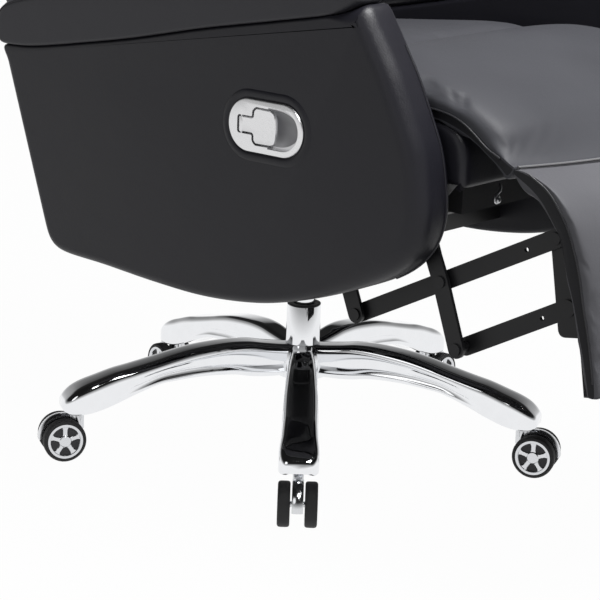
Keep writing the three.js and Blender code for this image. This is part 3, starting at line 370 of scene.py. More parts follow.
def joined(parts):
    """Several point and face lists in one."""
    points, faces = [], []
    for some_points, some_faces in parts:
        start = len(points)
        points += list(some_points)
        faces += [tuple(start + k for k in face) for face in some_faces]
    return points, faces


def turned(profile, centre=(0, 0, 0), sides=64):
    """A profile of (radius, height) pairs turned about an upright axis through centre."""
    angles = [2 * math.pi * k / sides for k in range(sides)]
    return skin([np.array([(radius * math.cos(a), radius * math.sin(a), height) for a in angles]) + centre
                 for radius, height in profile])


def tube(path, radius, sides=10, closed=False):
    path = np.array(path, float)
    tangents = np.gradient(path, axis=0)
    if closed:
        tangents = np.roll(path, -1, 0) - np.roll(path, 1, 0)
    tangents /= np.linalg.norm(tangents, axis=1)[:, None]
    side = np.cross(tangents[0], (0.3, 0.2, 1.0))
    side /= np.linalg.norm(side)
    angles = [2 * math.pi * k / sides for k in range(sides)]
    rings = []
    for p, t in zip(path, tangents):
        side = side - t * side.dot(t)
        side /= np.linalg.norm(side)
        other = np.cross(t, side)
        rings.append([p + radius * (math.cos(a) * side + math.sin(a) * other) for a in angles])
    return skin(rings, loop=closed)


def spline(points, count):
    """A smooth curve through points, sampled evenly along its length."""
    pts = np.array(points, float)
    padded_pts = np.vstack([2 * pts[0] - pts[1], pts, 2 * pts[-1] - pts[-2]])
    fine = []
    for i in range(1, len(padded_pts) - 2):
        p0, p1, p2, p3 = padded_pts[i - 1:i + 3]
        for t in np.linspace(0, 1, SPLINE_STEPS, endpoint=i == len(padded_pts) - 3):
            fine.append(0.5 * (2 * p1 + (p2 - p0) * t + (2 * p0 - 5 * p1 + 4 * p2 - p3) * t ** 2
                               + (3 * p1 - p0 - 3 * p2 + p3) * t ** 3))
    return resampled(fine, count)


def resampled(points, count):
    """An open line of straight runs, sampled evenly."""
    pts = np.array(points, float)
    lengths = np.concatenate([[0], np.cumsum(np.linalg.norm(np.diff(pts, axis=0), axis=1))])
    wanted = np.linspace(0, lengths[-1], count)
    return np.stack([np.interp(wanted, lengths, pts[:, k]) for k in range(pts.shape[1])], 1)


def cut_away(obj, *tools):
    """Cuts tool shapes out of a piece and leaves a plain mesh."""
    turn_outward(obj.data)
    for tool in tools:
        cutter = piece("cutter", *tool)
        cutter.data.validate()
        turn_outward(cutter.data)
        modified(obj, "BOOLEAN", operation="DIFFERENCE", solver="EXACT", use_self=True, object=cutter)
        bpy.data.objects.remove(cutter)
    return obj


def bake(obj):
    """Applies a piece's modifiers to its mesh."""
    graph = bpy.context.evaluated_depsgraph_get()
    graph.update()
    made = bpy.data.meshes.new_from_object(obj.evaluated_get(graph))
    obj.modifiers.clear()
    old = obj.data
    obj.data = made
    bpy.data.meshes.remove(old)
    return obj


def modified(obj, kind, **settings):
    """Applies one modifier with its settings."""
    step = obj.modifiers.new(kind.lower(), kind)
    for key, value in settings.items():
        setattr(step, key, value)
    return bake(obj)


print("mesh helpers ready")

# %% [markdown]
# ## The star base
# The base is one polished casting: five arched legs with a flat crown, rounded shoulders and a
# groove along each side that runs out toward the tip. A leg is a skin through sections whose height,
# depth and width follow its reach. The hub is turned. Nothing is cut: the pieces only meet inside.

# %% Star base
LEG_COUNT = 5
FIRST_LEG = math.radians(4)
LEG_STATIONS = [
    # reach, top, foot, half width
    (20, 148, 105, 19), (40, 150, 104.5, 18.6), (60, 152.5, 104.5, 18.5), (80, 155.4, 106, 18.9),
    (105, 156, 110, 20), (135, 153.5, 111, 21.2), (162, 149.5, 110, 22), (190, 143, 107, 22.7),
    (215, 136, 103, 23.3), (250, 127, 90, 24.2), (275, 121, 79, 24.8), (300, 112.5, 70, 25.8),
    (318, 106, 66.5, 26.8), (332, 99, 66.2, 26.4), (342, 91, 67, 23.5), (348, 84, 70, 18),
]
LEG_SECTION = [
    # across, up: the underside, a rim, a side with its groove, a rounded shoulder and the flat crown
    (-0.55, 0.06), (-0.78, 0.0), (-0.93, 0.02), (-1.0, 0.08), (-1.0, 0.14), (-0.97, 0.18), (-0.83, 0.35),
    (-0.85, 0.40), (-0.97, 0.47), (-1.0, 0.52), (-1.0, 0.64), (-0.985, 0.74), (-0.945, 0.83), (-0.88, 0.905),
    (-0.80, 0.955), (-0.73, 0.985), (-0.66, 0.995), (-0.4, 0.999), (0.0, 1.0),
]
GROOVE = range(5, 9)
GROOVE_FROM, GROOVE_TO = 190.0, 300.0


def leg(turn_angle):
    stations = spline(LEG_STATIONS, 64)
    direction = np.array([math.cos(turn_angle), math.sin(turn_angle), 0])
    sideways = np.array([-math.sin(turn_angle), math.cos(turn_angle), 0])
    rings = []
    for reach, top, foot, half in stations:
        flat = (1 - math.cos(math.pi * min(max((reach - GROOVE_FROM) / (GROOVE_TO - GROOVE_FROM), 0), 1))) / 2
        side = [(a + (-1 - a) * flat if k in GROOVE else a, u) for k, (a, u) in enumerate(LEG_SECTION)]
        section = side + [(-a, u) for a, u in side[-2::-1]]
        rings.append([direction * reach + sideways * half * a + np.array([0, 0, foot + (top - foot) * u])
                      for a, u in section])
    return skin(rings)


hub = turned([(18, 102.2), (36, 102.2), (36.5, 104), (36.5, 120), (34, 136), (30.5, 144), (27, 147.5),
              (24.7, 148.5), (24.5, 146), (24.5, 120), (18, 118), (18, 102.2)], sides=72)
star_parts = [leg(FIRST_LEG + 2 * math.pi * k / LEG_COUNT) for k in range(LEG_COUNT)] + [hub]
piece("star_casting", *joined(star_parts), "base", "chrome", CHROME, ["star_base"], sharp=50)
print("star base:", LEG_COUNT, "legs")

# %% [markdown]
# ## The gas lift
# A chromed outer tube stands in the hub. A dark guide bush closes its top, and the bright cylinder
# slides in it and carries the seat. These are turned shapes with small bevels, which catch the light.

# %% Gas lift
TUBE_RADIUS = 24.2
TUBE_TOP = 205.0
piece("outer_tube", *turned([
    (5, 109.4), (TUBE_RADIUS - 0.6, 109.4), (TUBE_RADIUS, 110), (TUBE_RADIUS, TUBE_TOP - 1.2),
    (TUBE_RADIUS - 0.5, TUBE_TOP - 0.3), (TUBE_RADIUS - 2.4, TUBE_TOP - 0.3), (TUBE_RADIUS - 2.4, 112), (5, 112),
]), "base", "chrome", CHROME, ["lift_tube"])
piece("bush", *turned([
    (14.35, 184), (21.4, 184), (21.4, 205.4), (23.6, 205.4), (24.0, 206), (23.2, 206.9), (16.5, 206.9),
    (15.6, 205.9), (14.35, 205.4), (14.35, 184),
]), "base", "black_plastic", PLASTIC, ["guide_bush"])
piece("lift_cylinder_skin", *turned([
    (5.4, 132.2), (13.4, 132.2), (14, 132.8), (14, 278), (13.4, 278.6), (5.4, 278.6), (5.4, 132.2),
]), "seat", "chrome", CHROME, ["lift_cylinder"])
print("gas lift turned")

# %% [markdown]
# ## Casters
# Each caster is a polished hood between two wheels. A wheel has a black tread, a bright ring and a
# five-armed star over dark textured windows. The tread and ring are turned, and the star is five
# bevelled arms that run into a small hub.

# %% Casters
STEM_CIRCLE = 325.0
TRAIL = 22.6
WHEEL_RADIUS = 30.0
WHEEL_GAP = 18.0
HOOD_RADIUS, HOOD_HALF, WEB_HALF = 31.2, 7.4, 5.4
HOOD_DEGREES = (-2, 104)


def local_to_chair(points, turn_angle):
    """Caster coordinates, outward and sideways from its stem, in chair coordinates."""
    c, s = math.cos(turn_angle), math.sin(turn_angle)
    p = np.array(points, float)
    return np.stack([STEM_CIRCLE * c + p[:, 0] * c - p[:, 1] * s,
                     STEM_CIRCLE * s + p[:, 0] * s + p[:, 1] * c, p[:, 2]], 1)


def on_wheel(shape, side):
    """A turned shape whose axis becomes the axle; side is -1 or 1."""
    points, faces = shape
    p = np.array(points, float)
    out = side * (WHEEL_GAP / 2 + p[:, 2])
    return np.stack([TRAIL + p[:, 0] * side, out, WHEEL_RADIUS + p[:, 1]], 1), faces


def star_face(foot, top, arms=5, hub_radius=8.6, reach=21.4, half=3.1):
    """Arms of a star with a hub, each arm a bevelled bar that widens outwards."""
    parts = [turned([(0.2, foot), (hub_radius, foot), (hub_radius, top), (hub_radius - 1.2, top + 1.1),
                     (0.2, top + 1.3)], sides=32)]
    stations = ((hub_radius * 0.6, half * 1.4), (hub_radius * 1.25, half), (reach * 0.78, half * 1.05),
                (reach * 0.9, half * 1.4), (reach, half * 2.2))
    for k in range(arms):
        angle = 2 * math.pi * k / arms + math.pi / 2
        c, s = math.cos(angle), math.sin(angle)
        rings = []
        for r, wide in stations:
            section = [(-wide, foot), (wide, foot), (wide, top - 0.7), (wide - 0.8, top), (-wide + 0.8, top),
                       (-wide, top - 0.7)]
            rings.append([(r * c - a * s, r * s + a * c, u) for a, u in section])
        parts.append(skin(rings))
    return joined(parts)


def caster_hood():
    """The hood over the wheels, its web, the neck and the axle, around the stem."""
    half = HOOD_HALF
    section = [(-half, -1.8), (-half, 1.3), (-half + 1.2, 2.2), (0, 2.7), (half - 1.2, 2.2), (half, 1.3),
               (half, -1.8)]
    rings = []
    for a in np.radians(np.linspace(*HOOD_DEGREES, 22)):
        out = np.array([math.cos(a), 0, math.sin(a)])
        rings.append([(TRAIL, across, WHEEL_RADIUS) + out * (HOOD_RADIUS + u) for across, u in section])
    web = [(-7.2, 65), (-7.2, 42), (2, 37), (12, 31), (TRAIL - 6, 24), (TRAIL + 3, 24), (TRAIL + 8, 30),
           (TRAIL + 6, 38), (TRAIL + 2, 44), (14, 52), (10, 61), (7.2, 65)]
    neck = turned([(0.5, 40), (7.3, 40), (7.3, 63.8), (6.6, 65.3), (5.5, 65.5), (5.5, 87.6), (0.5, 87.6)],
                  sides=32)
    axle, axle_faces = turned([(0.3, -19.6), (3.9, -19.6), (3.9, 19.6), (0.3, 19.6)], sides=20)
    axle = [(TRAIL + x, z, WHEEL_RADIUS + y) for x, y, z in axle]
    return joined([skin(rings), skin([[(x, y, z) for x, z in web] for y in (-WEB_HALF, WEB_HALF)]), neck,
                   (axle, axle_faces)])


tread = turned([
    (9, 0.6), (26.4, 0.6), (28.6, 1.2), (29.7, 3.2), (29.9, 6), (29.9, 12.5), (29.6, 14.6), (28.4, 16.2),
    (26.4, 16.9), (25.4, 16.9), (25.1, 16.2), (25.1, 13), (9, 13), (9, 0.6),
], sides=56)
ring = turned([
    (20.4, 13.2), (20.4, 15.8), (21.1, 16.7), (22.6, 17.0), (24.5, 16.7), (25.0, 16.0), (25.0, 13.2), (20.4, 13.2),
], sides=56)
backing = turned([(4.35, 12.2), (20.8, 12.2), (20.8, 14.2), (4.35, 14.2), (4.35, 12.2)], sides=40)
star = star_face(foot=13.8, top=15.6)
WHEEL_PIECES = (("tread", tread, "tyre", RUBBER), ("ring", ring, "chrome", SILVER),
                ("backing", backing, "black_plastic", WINDOW), ("star", star, "chrome", SILVER))
hood_points, hood_faces = caster_hood()
for number in range(1, LEG_COUNT + 1):
    angle = FIRST_LEG + 2 * math.pi * (number - 1) / LEG_COUNT
    piece(f"hood_{number}", local_to_chair(hood_points, angle), hood_faces, f"caster_{number}", "chrome",
          SILVER, [f"caster_housing_{number}"])
    for letter, side in (("a", -1), ("b", 1)):
        for word, shape, slot_name, material in WHEEL_PIECES:
            points, faces = on_wheel(shape, side)
            replaced = [f"caster_wheel_{number}{letter}"] if word == "tread" else []
            piece(f"{word}_{number}{letter}", local_to_chair(points, angle), faces,
                  f"wheel_{number}{letter}", slot_name, material, replaced, sharp=32)
print("casters:", LEG_COUNT)

# %% [markdown]
# ## The arms
# Each arm is a closed upholstered panel with a long soft pad sewn on its top. Both are the same
# recipe: a ring around the outline, repeated from the inner face to the outer face, rounding over at
# each edge. The rounding is wide where the leather rolls around the front, and tight at the seam.
# The pad's outer face stands a little further out and closes on its middle line.

# %% Arm outlines
ARM_INNER, ARM_DEPTH = 262.0, 58.0
ARM_OUTER = ARM_INNER + ARM_DEPTH
ARM_REAR, ARM_FRONT, ARM_FOOT, ARM_TOP = 290.0, -438.0, 289.0, 748.0
OVERHANG = 5.5
OVERHANG_FADES = (215, 345)
SIDES = (("right", -1), ("left", 1))
OUTLINE_SHARES = [
    (0.1236, 0.1046), (0.1374, 0.0545), (0.1703, 0.0261), (0.2788, 0.0174), (0.4052, 0.0044), (0.5275, 0),
    (0.6442, 0.0174), (0.7349, 0.0501), (0.8214, 0.0948), (0.9038, 0.1503), (0.9547, 0.2026), (0.9863, 0.2636),
    (1, 0.3355), (0.9986, 0.4009), (0.9863, 0.5033), (0.967, 0.5752), (0.9313, 0.6906), (0.9011, 0.7669),
]
FOOT_SHARES = [
    (0.8571, 0.8758), (0.8146, 0.8388), (0.6841, 0.7974), (0.5234, 0.7495), (0.3516, 0.6906),
    (0.217, 0.6514), (0.1236, 0.6264), (0.0687, 0.6166), (0.011, 0.6144),
]
CROWN_SHARES = [
    (0, 0.6863), (0.0275, 0.7386), (0.1236, 0.7821), (0.2157, 0.8126), (0.3984, 0.8867),
    (0.6044, 0.9673), (0.7253, 1), (0.794, 0.9804), (0.8283, 0.9368),
]


def in_arm(shares):
    s = np.array(shares, float)
    return np.stack([ARM_REAR + (ARM_FRONT - ARM_REAR) * s[:, 0], ARM_FOOT + (ARM_TOP - ARM_FOOT) * s[:, 1]], 1)


def closed_outline(runs, count):
    """One even loop of points through curved runs."""
    line = np.vstack([spline(in_arm(run), 160) for run in runs])
    keep = [0] + [i for i in range(1, len(line)) if np.linalg.norm(line[i] - line[i - 1]) > 0.05]
    line = line[keep]
    return resampled(np.vstack([line, line[:1]]), count + 1)[:-1]


def rounded_corners(loop, times=2):
    for _ in range(times):
        loop = 0.5 * loop + 0.25 * (np.roll(loop, 1, 0) + np.roll(loop, -1, 0))
    return loop


def inward(loop):
    ahead = np.roll(loop, -2, 0) - np.roll(loop, 2, 0)
    normal = np.stack([-ahead[:, 1], ahead[:, 0]], 1)
    normal /= np.linalg.norm(normal, axis=1)[:, None]
    centre = loop.mean(0)
    return normal if ((centre - loop) * normal).sum() > 0 else -normal


def eased(value, low, high):
    """0 at low, 1 at high, and smooth between."""
    t = np.clip((np.asarray(value, float) - low) / (high - low), 0, 1)
    return t * t * (3 - 2 * t)


def middle_line(loop, margin=45.0, window=6.0):
    """For each point of a long loop, the point across from it on the loop's middle line."""
    along = np.clip(loop[:, 0], loop[:, 0].min() + margin, loop[:, 0].max() - margin)
    close = np.abs(loop[None, :, 0] - along[:, None]) < window
    top = np.where(close, loop[None, :, 1], -9e3).max(1)
    low = np.where(close, loop[None, :, 1], 9e3).min(1)
    return np.stack([along, (top + low) / 2], 1)


def panel(loop, near, near_edge, far_edge, sign, overhang=0.0, rings_to_middle=14, steps=9):
    """A slab on a side-view loop. Its outer face stands further out by the overhang behind the roll."""
    count = len(loop)
    normal = inward(loop)
    near_edge = np.broadcast_to(near_edge, count)
    far_edge = np.broadcast_to(far_edge, count)
    rings = []

    def face(spots):
        return ARM_OUTER + overhang * (1 - eased(-spots[:, 0], *OVERHANG_FADES))

    def layer(depth, x):
        rings.append(np.column_stack([sign * x, loop + normal * depth[:, None]]))

    layer(near_edge + 3, np.full(count, near))
    for k in range(steps):
        a = math.pi / 2 * k / (steps - 1)
        layer(near_edge * (1 - math.sin(a)), near + near_edge * (1 - math.cos(a)))
    far = face(loop)
    for k in range(steps):
        a = math.pi / 2 * (1 - k / (steps - 1))
        layer(far_edge * (1 - math.sin(a)), far - far_edge * (1 - math.cos(a)))
    if not overhang:
        return skin(rings)
    inner = loop + normal * far_edge[:, None]
    middle = middle_line(inner)
    for k in range(1, rings_to_middle):
        spots = middle + (inner - middle) * (1 - k / rings_to_middle)
        rings.append(np.column_stack([sign * face(spots), spots]))
    points, faces = skin(rings)
    faces.pop()
    front, last = int(np.argmin(inner[:, 0])), (len(rings) - 1) * count
    for k in range(count // 2):
        rung = [last + (front + step) % count for step in (k, k + 1, -k - 1, -k)]
        faces.append(tuple(dict.fromkeys(rung)))
    return points, faces


BODY_LOOP = rounded_corners(closed_outline([OUTLINE_SHARES, FOOT_SHARES], 320), 5)
PAD_LOOP = rounded_corners(closed_outline([CROWN_SHARES, FOOT_SHARES], 280), 5)
SEAM_LINE = spline(in_arm(FOOT_SHARES), 160)
print("arm outlines:", len(BODY_LOOP), "and", len(PAD_LOOP), "points")

# %% Arm panels and pads
HANDLE_Y, HANDLE_Z = -197.5, 523.5
BEZEL_LENGTH, BEZEL_HEIGHT = 120.0, 66.0
CUP_LENGTH, CUP_HEIGHT = 106.0, 51.0
LOOP_POINTS = 96


def stadium(length, height, count=64):
    """A loop with two straight sides and round ends, about the handle's middle."""
    r = height / 2
    run = (length - height) / 2
    loop = []
    for k in range(count):
        a = 2 * math.pi * (k + 0.5) / count
        loop.append((HANDLE_Y + math.copysign(run, math.cos(a)) + r * math.cos(a), HANDLE_Z + r * math.sin(a)))
    return np.array(loop)


def prism(loop, x_from, x_to):
    return skin([[(x_from, y, z) for y, z in loop], [(x_to, y, z) for y, z in loop]])


def near_seam(loop, reach):
    """1 for points on the seam between panel and pad, falling to 0 at a distance."""
    away = np.linalg.norm(loop[:, None, :] - SEAM_LINE[None, :, :], axis=2).min(1)
    return 1 - eased(away, 2.0, reach)


def edge_radii(loop, plain, seam):
    """Edge radius around a loop: tight on the seam and wide where the leather rolls over the front."""
    at_seam = near_seam(loop, SEAM_BAND)
    seam_radius = seam + (ROLL - seam) * eased(-loop[:, 0], *SEAM_WIDENS)
    plain_radius = plain + (ROLL - plain) * eased(-loop[:, 0], *EDGE_WIDENS)
    return plain_radius * (1 - at_seam) + seam_radius * at_seam


ROLL = 25.0
SEAM_BAND = 26.0
SEAM_WIDENS, EDGE_WIDENS = (282, 334), (230, 390)
for word, sign in SIDES:
    body_edge = edge_radii(BODY_LOOP, 12.0, 4.5)
    body_panel = piece(f"panel_{word}", *panel(BODY_LOOP, ARM_INNER, 7.0, body_edge, sign))
    if sign < 0:
        hollow = prism(stadium(CUP_LENGTH + 5, CUP_HEIGHT + 5), -ARM_OUTER - 40, -(ARM_OUTER - 23))
        cut_away(body_panel, hollow)
    finish_piece(body_panel, "seat", BODY_LEATHER, [f"arm_body_{word}"], sharp=60)
    pad_edge = edge_radii(PAD_LOOP, 10.0, 5.0)
    armrest = piece(f"armrest_{word}", *panel(PAD_LOOP, ARM_INNER, 12.0, pad_edge, sign, OVERHANG))
    finish_piece(armrest, "seat", PAD_LEATHER_PAINTED_LIT, [f"arm_pad_{word}"], sharp=60)
print("arms upholstered")

# %% [markdown]
# ## The recessed handle
# A satin bezel is let into the right arm. Its front half is a polished finger cup, and a T-shaped
# lever lies over the rear half, hinged on an upright pin. The bezel is a stadium plate with a
# bevelled rim, and the hollows are cut from it.

# %% Bezel and lever
FACE_X = -ARM_OUTER - 0.3


def scaled_loop(loop, margin):
    return loop + inward(loop) * margin


def stepped(loop, steps):
    """A skin through one loop, drawn in by a margin at each depth behind or before the arm's face."""
    return skin([[(FACE_X + x, y, z) for y, z in scaled_loop(loop, margin)] for margin, x in steps])


def scoop(half_x, half_y, half_z, y_centre, count=48):
    rings = []
    for i in range(1, 24):
        a = math.pi * i / 24
        ring_x = FACE_X - 1 - half_x * math.cos(a)
        rings.append([(ring_x, y_centre + half_y * math.sin(a) * math.cos(2 * math.pi * k / count),
                       HANDLE_Z + half_z * math.sin(a) * math.sin(2 * math.pi * k / count)) for k in range(count)])
    return skin(rings)


LEVER_REAR = HANDLE_Y + BEZEL_LENGTH / 2 - 17
TAIL_LENGTH, TAIL_HALF = 24.0, 9.5
PADDLE_LENGTH, PADDLE_HALF = 36.0, 22.0
PADDLE_FRONT = LEVER_REAR - TAIL_LENGTH - PADDLE_LENGTH


def lever_loop():
    neck = LEVER_REAR - TAIL_LENGTH
    front = PADDLE_FRONT
    half = [(LEVER_REAR, TAIL_HALF), (neck + 2, TAIL_HALF), (neck, TAIL_HALF + 2), (neck, PADDLE_HALF - 4),
            (neck - 4, PADDLE_HALF), (front + 8, PADDLE_HALF - 0.5), (front + 3.5, PADDLE_HALF - 3),
            (front + 1, PADDLE_HALF - 9), (front, 0)]
    other = [(y, -z) for y, z in half[-2::-1]]
    corners = np.array([(y, HANDLE_Z + z) for y, z in half + other])
    return rounded_corners(resampled(np.vstack([corners, corners[:1]]), 161)[:-1], 2)


outer_loop = stadium(BEZEL_LENGTH, BEZEL_HEIGHT, LOOP_POINTS)
bezel = piece("bezel", *stepped(outer_loop, (
    (6, 1.0), (0.4, 1.0), (0, 0.2), (0, -1.0), (0.7, -2.0), (2.0, -2.6))))
ledge_loop = stadium(CUP_LENGTH, CUP_HEIGHT, LOOP_POINTS)
cup_loop = ledge_loop.copy()
cup_loop[:, 0] = np.minimum(cup_loop[:, 0], PADDLE_FRONT + 12)
lever_gap = scaled_loop(lever_loop(), -2.0)
for hole in (cup_loop, lever_gap):
    cut_away(bezel, prism(hole, FACE_X - 8, FACE_X + 8))
finish_piece(bezel, "seat", SATIN, ["handle_bezel"], sharp=30)
tray_loop = stadium(CUP_LENGTH + 3.6, CUP_HEIGHT + 3.6, LOOP_POINTS)
tray = piece("bezel_tray", *prism(tray_loop, FACE_X - 1.5, FACE_X + 21.5))
cut_away(tray, prism(ledge_loop, FACE_X - 8, FACE_X + 4.8), scoop(20.5, 36.0, 23.4, HANDLE_Y - 15))
# The tray and its scoop take the part-metal grey cup finish, a painted reflection of the floor.
finish_piece(tray, "seat", CUP_CHROME_PAINTED_REFLECTION, [], sharp=30)

PIN_PLACE = (FACE_X + 0.05, LEVER_REAR - 3.1, HANDLE_Z)
blade = stepped(lever_loop(), ((1.2, 2.2), (0.2, 2.2), (0, 1.6), (0, -1.3), (0.9, -2.2), (5, -1.7)))
barrel = turned([(1.85, -9.4), (2.9, -9.4), (3.1, -9.0), (3.1, 9.0), (2.9, 9.4), (1.85, 9.4), (1.85, -9.4)],
                PIN_PLACE, sides=24)
piece("lever", *joined([blade, barrel]), "pull_lever", "satin_metal", SATIN, ["pull_lever"], sharp=35)
pin = turned([(0.2, -18.5), (1.45, -18.5), (1.45, 18.5), (0.2, 18.5)], PIN_PLACE, sides=16)
piece("lever_pin", *pin, "seat", "satin_metal", SATIN)
piece("bezel_ridge", *tube([(FACE_X + 7.4, y, z) for y, z in scaled_loop(outer_loop, -6)], 9.0, 40, closed=True),
      "seat", "leather", BODY_LEATHER, sharp=80)
print("handle let into the right arm")

# %% [markdown]
# ## Cushions
# The pads are foam under leather, drawn in at their seams. The simplest honest way is to let them
# swell as cloth with a little pressure. The seat, the back and the headrest start from their solid,
# a little smaller and evenly remeshed. The knee roll and the leg pad are drawn: a crowned line in
# the middle of the chair rolls down to a lower line at each side. The swelling is capped.

# %% Swollen pads
VOXEL = 0.007
SEAT_HALF = 259.0
LEG_HALF = 263.0


def copy_of(node, name):
    source = frame["nodes"][node]
    obj = bpy.data.objects.new(name, source.data.copy())
    bpy.context.collection.objects.link(obj)
    obj.hide_render = False
    obj.hide_viewport = False
    return obj


def coordinates(obj, kind="co"):
    flat = np.empty(len(obj.data.vertices) * 3)
    obj.data.vertices.foreach_get(kind, flat)
    return flat.reshape(-1, 3)


def move_to(obj, points):
    obj.data.vertices.foreach_set("co", np.asarray(points, float).reshape(-1))
    obj.data.update()


def normals(obj):
    return coordinates(obj, "normal")


def remesh(obj, size):
    return modified(obj, "REMESH", mode="VOXEL", voxel_size=size)


def smoothed(obj, times):
    return modified(obj, "SMOOTH", iterations=times, factor=0.5)


def swell(obj, cap, pressure=4.0, frames=16):
    """Cloth with pressure and no gravity, its movement capped, applied to the mesh."""
    rest = coordinates(obj)
    cloth = obj.modifiers.new("cloth", "CLOTH")
    settings = cloth.settings
    settings.quality = 4
    settings.mass = 0.25
    settings.use_pressure = True
    settings.uniform_pressure_force = pressure
    settings.tension_stiffness = 12
    settings.compression_stiffness = 12
    settings.shear_stiffness = 4
    settings.bending_stiffness = 0.4
    settings.effector_weights.gravity = 0
    cloth.point_cache.frame_start = 1
    cloth.point_cache.frame_end = frames
    scene = bpy.context.scene
    for number in range(1, frames + 1):
        scene.frame_set(number)
    bake(obj)
    moved = coordinates(obj) - rest
    far = np.linalg.norm(moved, axis=1)
    moved *= np.minimum(1, cap * MM / np.maximum(far, 1e-9))[:, None]
    move_to(obj, rest + moved)
    scene.frame_set(1)
    return obj


def pad(node, name, body, material, shrink=4.0, cap=9.0, keep=None, shape=None):
    """A cushion from a solid: a little smaller, remeshed, swollen, then kept inside its limits."""
    obj = smoothed(remesh(copy_of(node, name), VOXEL), 3)
    move_to(obj, coordinates(obj) - normals(obj) * shrink * MM)
    swell(obj, cap)
    smoothed(obj, 2)
    if shape:
        move_to(obj, shape(coordinates(obj), normals(obj)))
    if keep:
        move_to(obj, keep(coordinates(obj)))
    modified(obj, "SUBSURF", levels=1, render_levels=1)
    finish_piece(obj, body, material, [node], sharp=120)
    return obj


def limits(low, high):
    """Keeps points between two corners, given in chair millimetres."""
    lowest, highest = np.array(low) * MM + OFFSET, np.array(high) * MM + OFFSET
    return lambda points: np.minimum(np.maximum(points, lowest), highest)


def covered(node, name, body, size, times):
    """A solid's own shape in leather, remeshed and with its edges softened."""
    obj = smoothed(remesh(copy_of(node, name), size), times)
    return finish_piece(obj, body, BODY_LEATHER, [node], sharp=120)


def seam_line(x):
    """The seam between the knee roll and the leg pad: it recedes toward both corners."""
    share = (np.asarray(x, float) / SEAT_HALF) ** 2
    return np.stack([-565 + 40 * share, 514 + 2.5 * share], -1)


def draped(middle, edge, half, seam_first, roll, under_roll, along=64, stations=110):
    """A pad as a skin across the chair: its outline in the middle rolls down to its outline at the edge."""
    outlines = []
    for over, under in (middle, edge):
        outlines.append(np.vstack([spline(over, along), spline(under, along)[::-1]]))
    share = np.linspace(0, 1, along)
    near_seam_end = 1 - eased(share if seam_first else 1 - share, 0.0, 0.22)
    weight = np.concatenate([near_seam_end, np.zeros(along)])[:, None]
    power = np.concatenate([np.full(along, roll), np.full(along, under_roll)])[:, None]
    rings = []
    for u in np.linspace(-1, 1, stations):
        h = abs(math.sin(u * math.pi / 2))
        full = (1 - h ** power) ** (1 / np.minimum(power, 4.0))
        full = full * (1 - weight) + (1 - h * h) * weight
        line = outlines[1] + (outlines[0] - outlines[1]) * full
        rings.append(np.column_stack([np.full(2 * along, math.copysign(h, u) * half), line]))
    points, faces = skin(rings, closed_ends=False)
    last = len(points) - 2 * along
    for k in range(along - 1):
        rung = (k, k + 1, 2 * along - 2 - k, 2 * along - 1 - k)
        faces += [rung[::-1], tuple(last + corner for corner in rung)]
    return points, faces


def sewn_pad(node, name, body, material, mesh, cap):
    """A pad that swells from a drawn shape, and keeps its place at the seam."""
    obj = piece(name, *mesh)
    # Faces at the two side ends take the boxing leather, a painted shade for the pad's shaded sides.
    for finish in (material, BOXING_LEATHER_PAINTED_SHADE):
        obj.data.materials.append(finish)
    turn_outward(obj.data)
    rest = coordinates(obj)
    half = np.abs(rest[:, 0] - OFFSET[0]).max()
    for face in obj.data.polygons:
        face.material_index = int(abs(face.center.x - OFFSET[0]) > half - 0.01 * MM)
    swell(obj, cap, 3.0)
    local = (rest - OFFSET) / MM
    away = np.linalg.norm(local[:, 1:] - seam_line(local[:, 0]), axis=1)
    move_to(obj, rest + (coordinates(obj) - rest) * eased(away, 6, 60)[:, None])
    modified(obj, "SUBSURF", levels=1, render_levels=1)
    finish_piece(obj, body, None, [node], sharp=70)
    return obj


KNEE_MIDDLE = (
    [(-246, 588), (-252, 604), (-275, 617), (-305, 621), (-345, 617), (-402, 602), (-444, 586), (-485, 566),
     (-515, 546), (-540, 530), (-565, 514)],
    [(-245, 541), (-309, 547), (-361, 554), (-389, 557), (-417, 554), (-442, 545), (-466, 537), (-485, 526),
     (-499, 515), (-517, 498)],
)
KNEE_EDGE = (
    [(-246, 570), (-250, 573), (-275, 575), (-305, 574), (-345, 572), (-394, 570), (-420, 567), (-440, 561),
     (-458, 551), (-481, 535), (-502, 526), (-525, 516.5)],
    [(-247, 542), (-309, 546), (-361, 552), (-389, 555), (-416, 552), (-436, 546), (-454, 538), (-476, 525),
     (-498, 514), (-512, 502)],
)
LEG_MIDDLE = (
    [(-565, 514), (-580, 503), (-601, 484), (-621, 457), (-636, 416), (-646, 370), (-655, 310), (-661, 272),
     (-658, 266)],
    [(-541, 487), (-557, 481), (-578, 470), (-600, 456), (-612, 448.6), (-617, 424), (-624, 376), (-635, 312),
     (-643, 266)],
)
LEG_EDGE = (
    [(-525, 516.5), (-547, 513), (-577, 494), (-604, 459), (-621, 416), (-632, 371), (-642, 328), (-650, 286),
     (-652, 267)],
    [(-524, 512), (-550, 491), (-573, 462), (-585, 444), (-599, 405), (-609, 380), (-616, 360), (-629, 312),
     (-640, 266)],
)
seat_pad = pad("seat_cushion", "seat_pad", "seat", SEAT_LEATHER_PAINTED_LIT,
               keep=limits((-SEAT_HALF, -244.5, 480), (SEAT_HALF, 99, 612)))
knee = sewn_pad("knee_pad", "knee_roll", "seat", SEAT_LEATHER_PAINTED_LIT,
                draped(KNEE_MIDDLE, KNEE_EDGE, SEAT_HALF, False, 3.4, 30.0), 5.0)
leg_pad = sewn_pad("footrest_pad", "leg_pad", "footrest", LEG_LEATHER_PAINTED_LIT,
                   draped(LEG_MIDDLE, LEG_EDGE, LEG_HALF, True, 4.4, 44.0), 4.0)
print("pads swollen:", len(seat_pad.data.vertices), len(knee.data.vertices), len(leg_pad.data.vertices), "points")

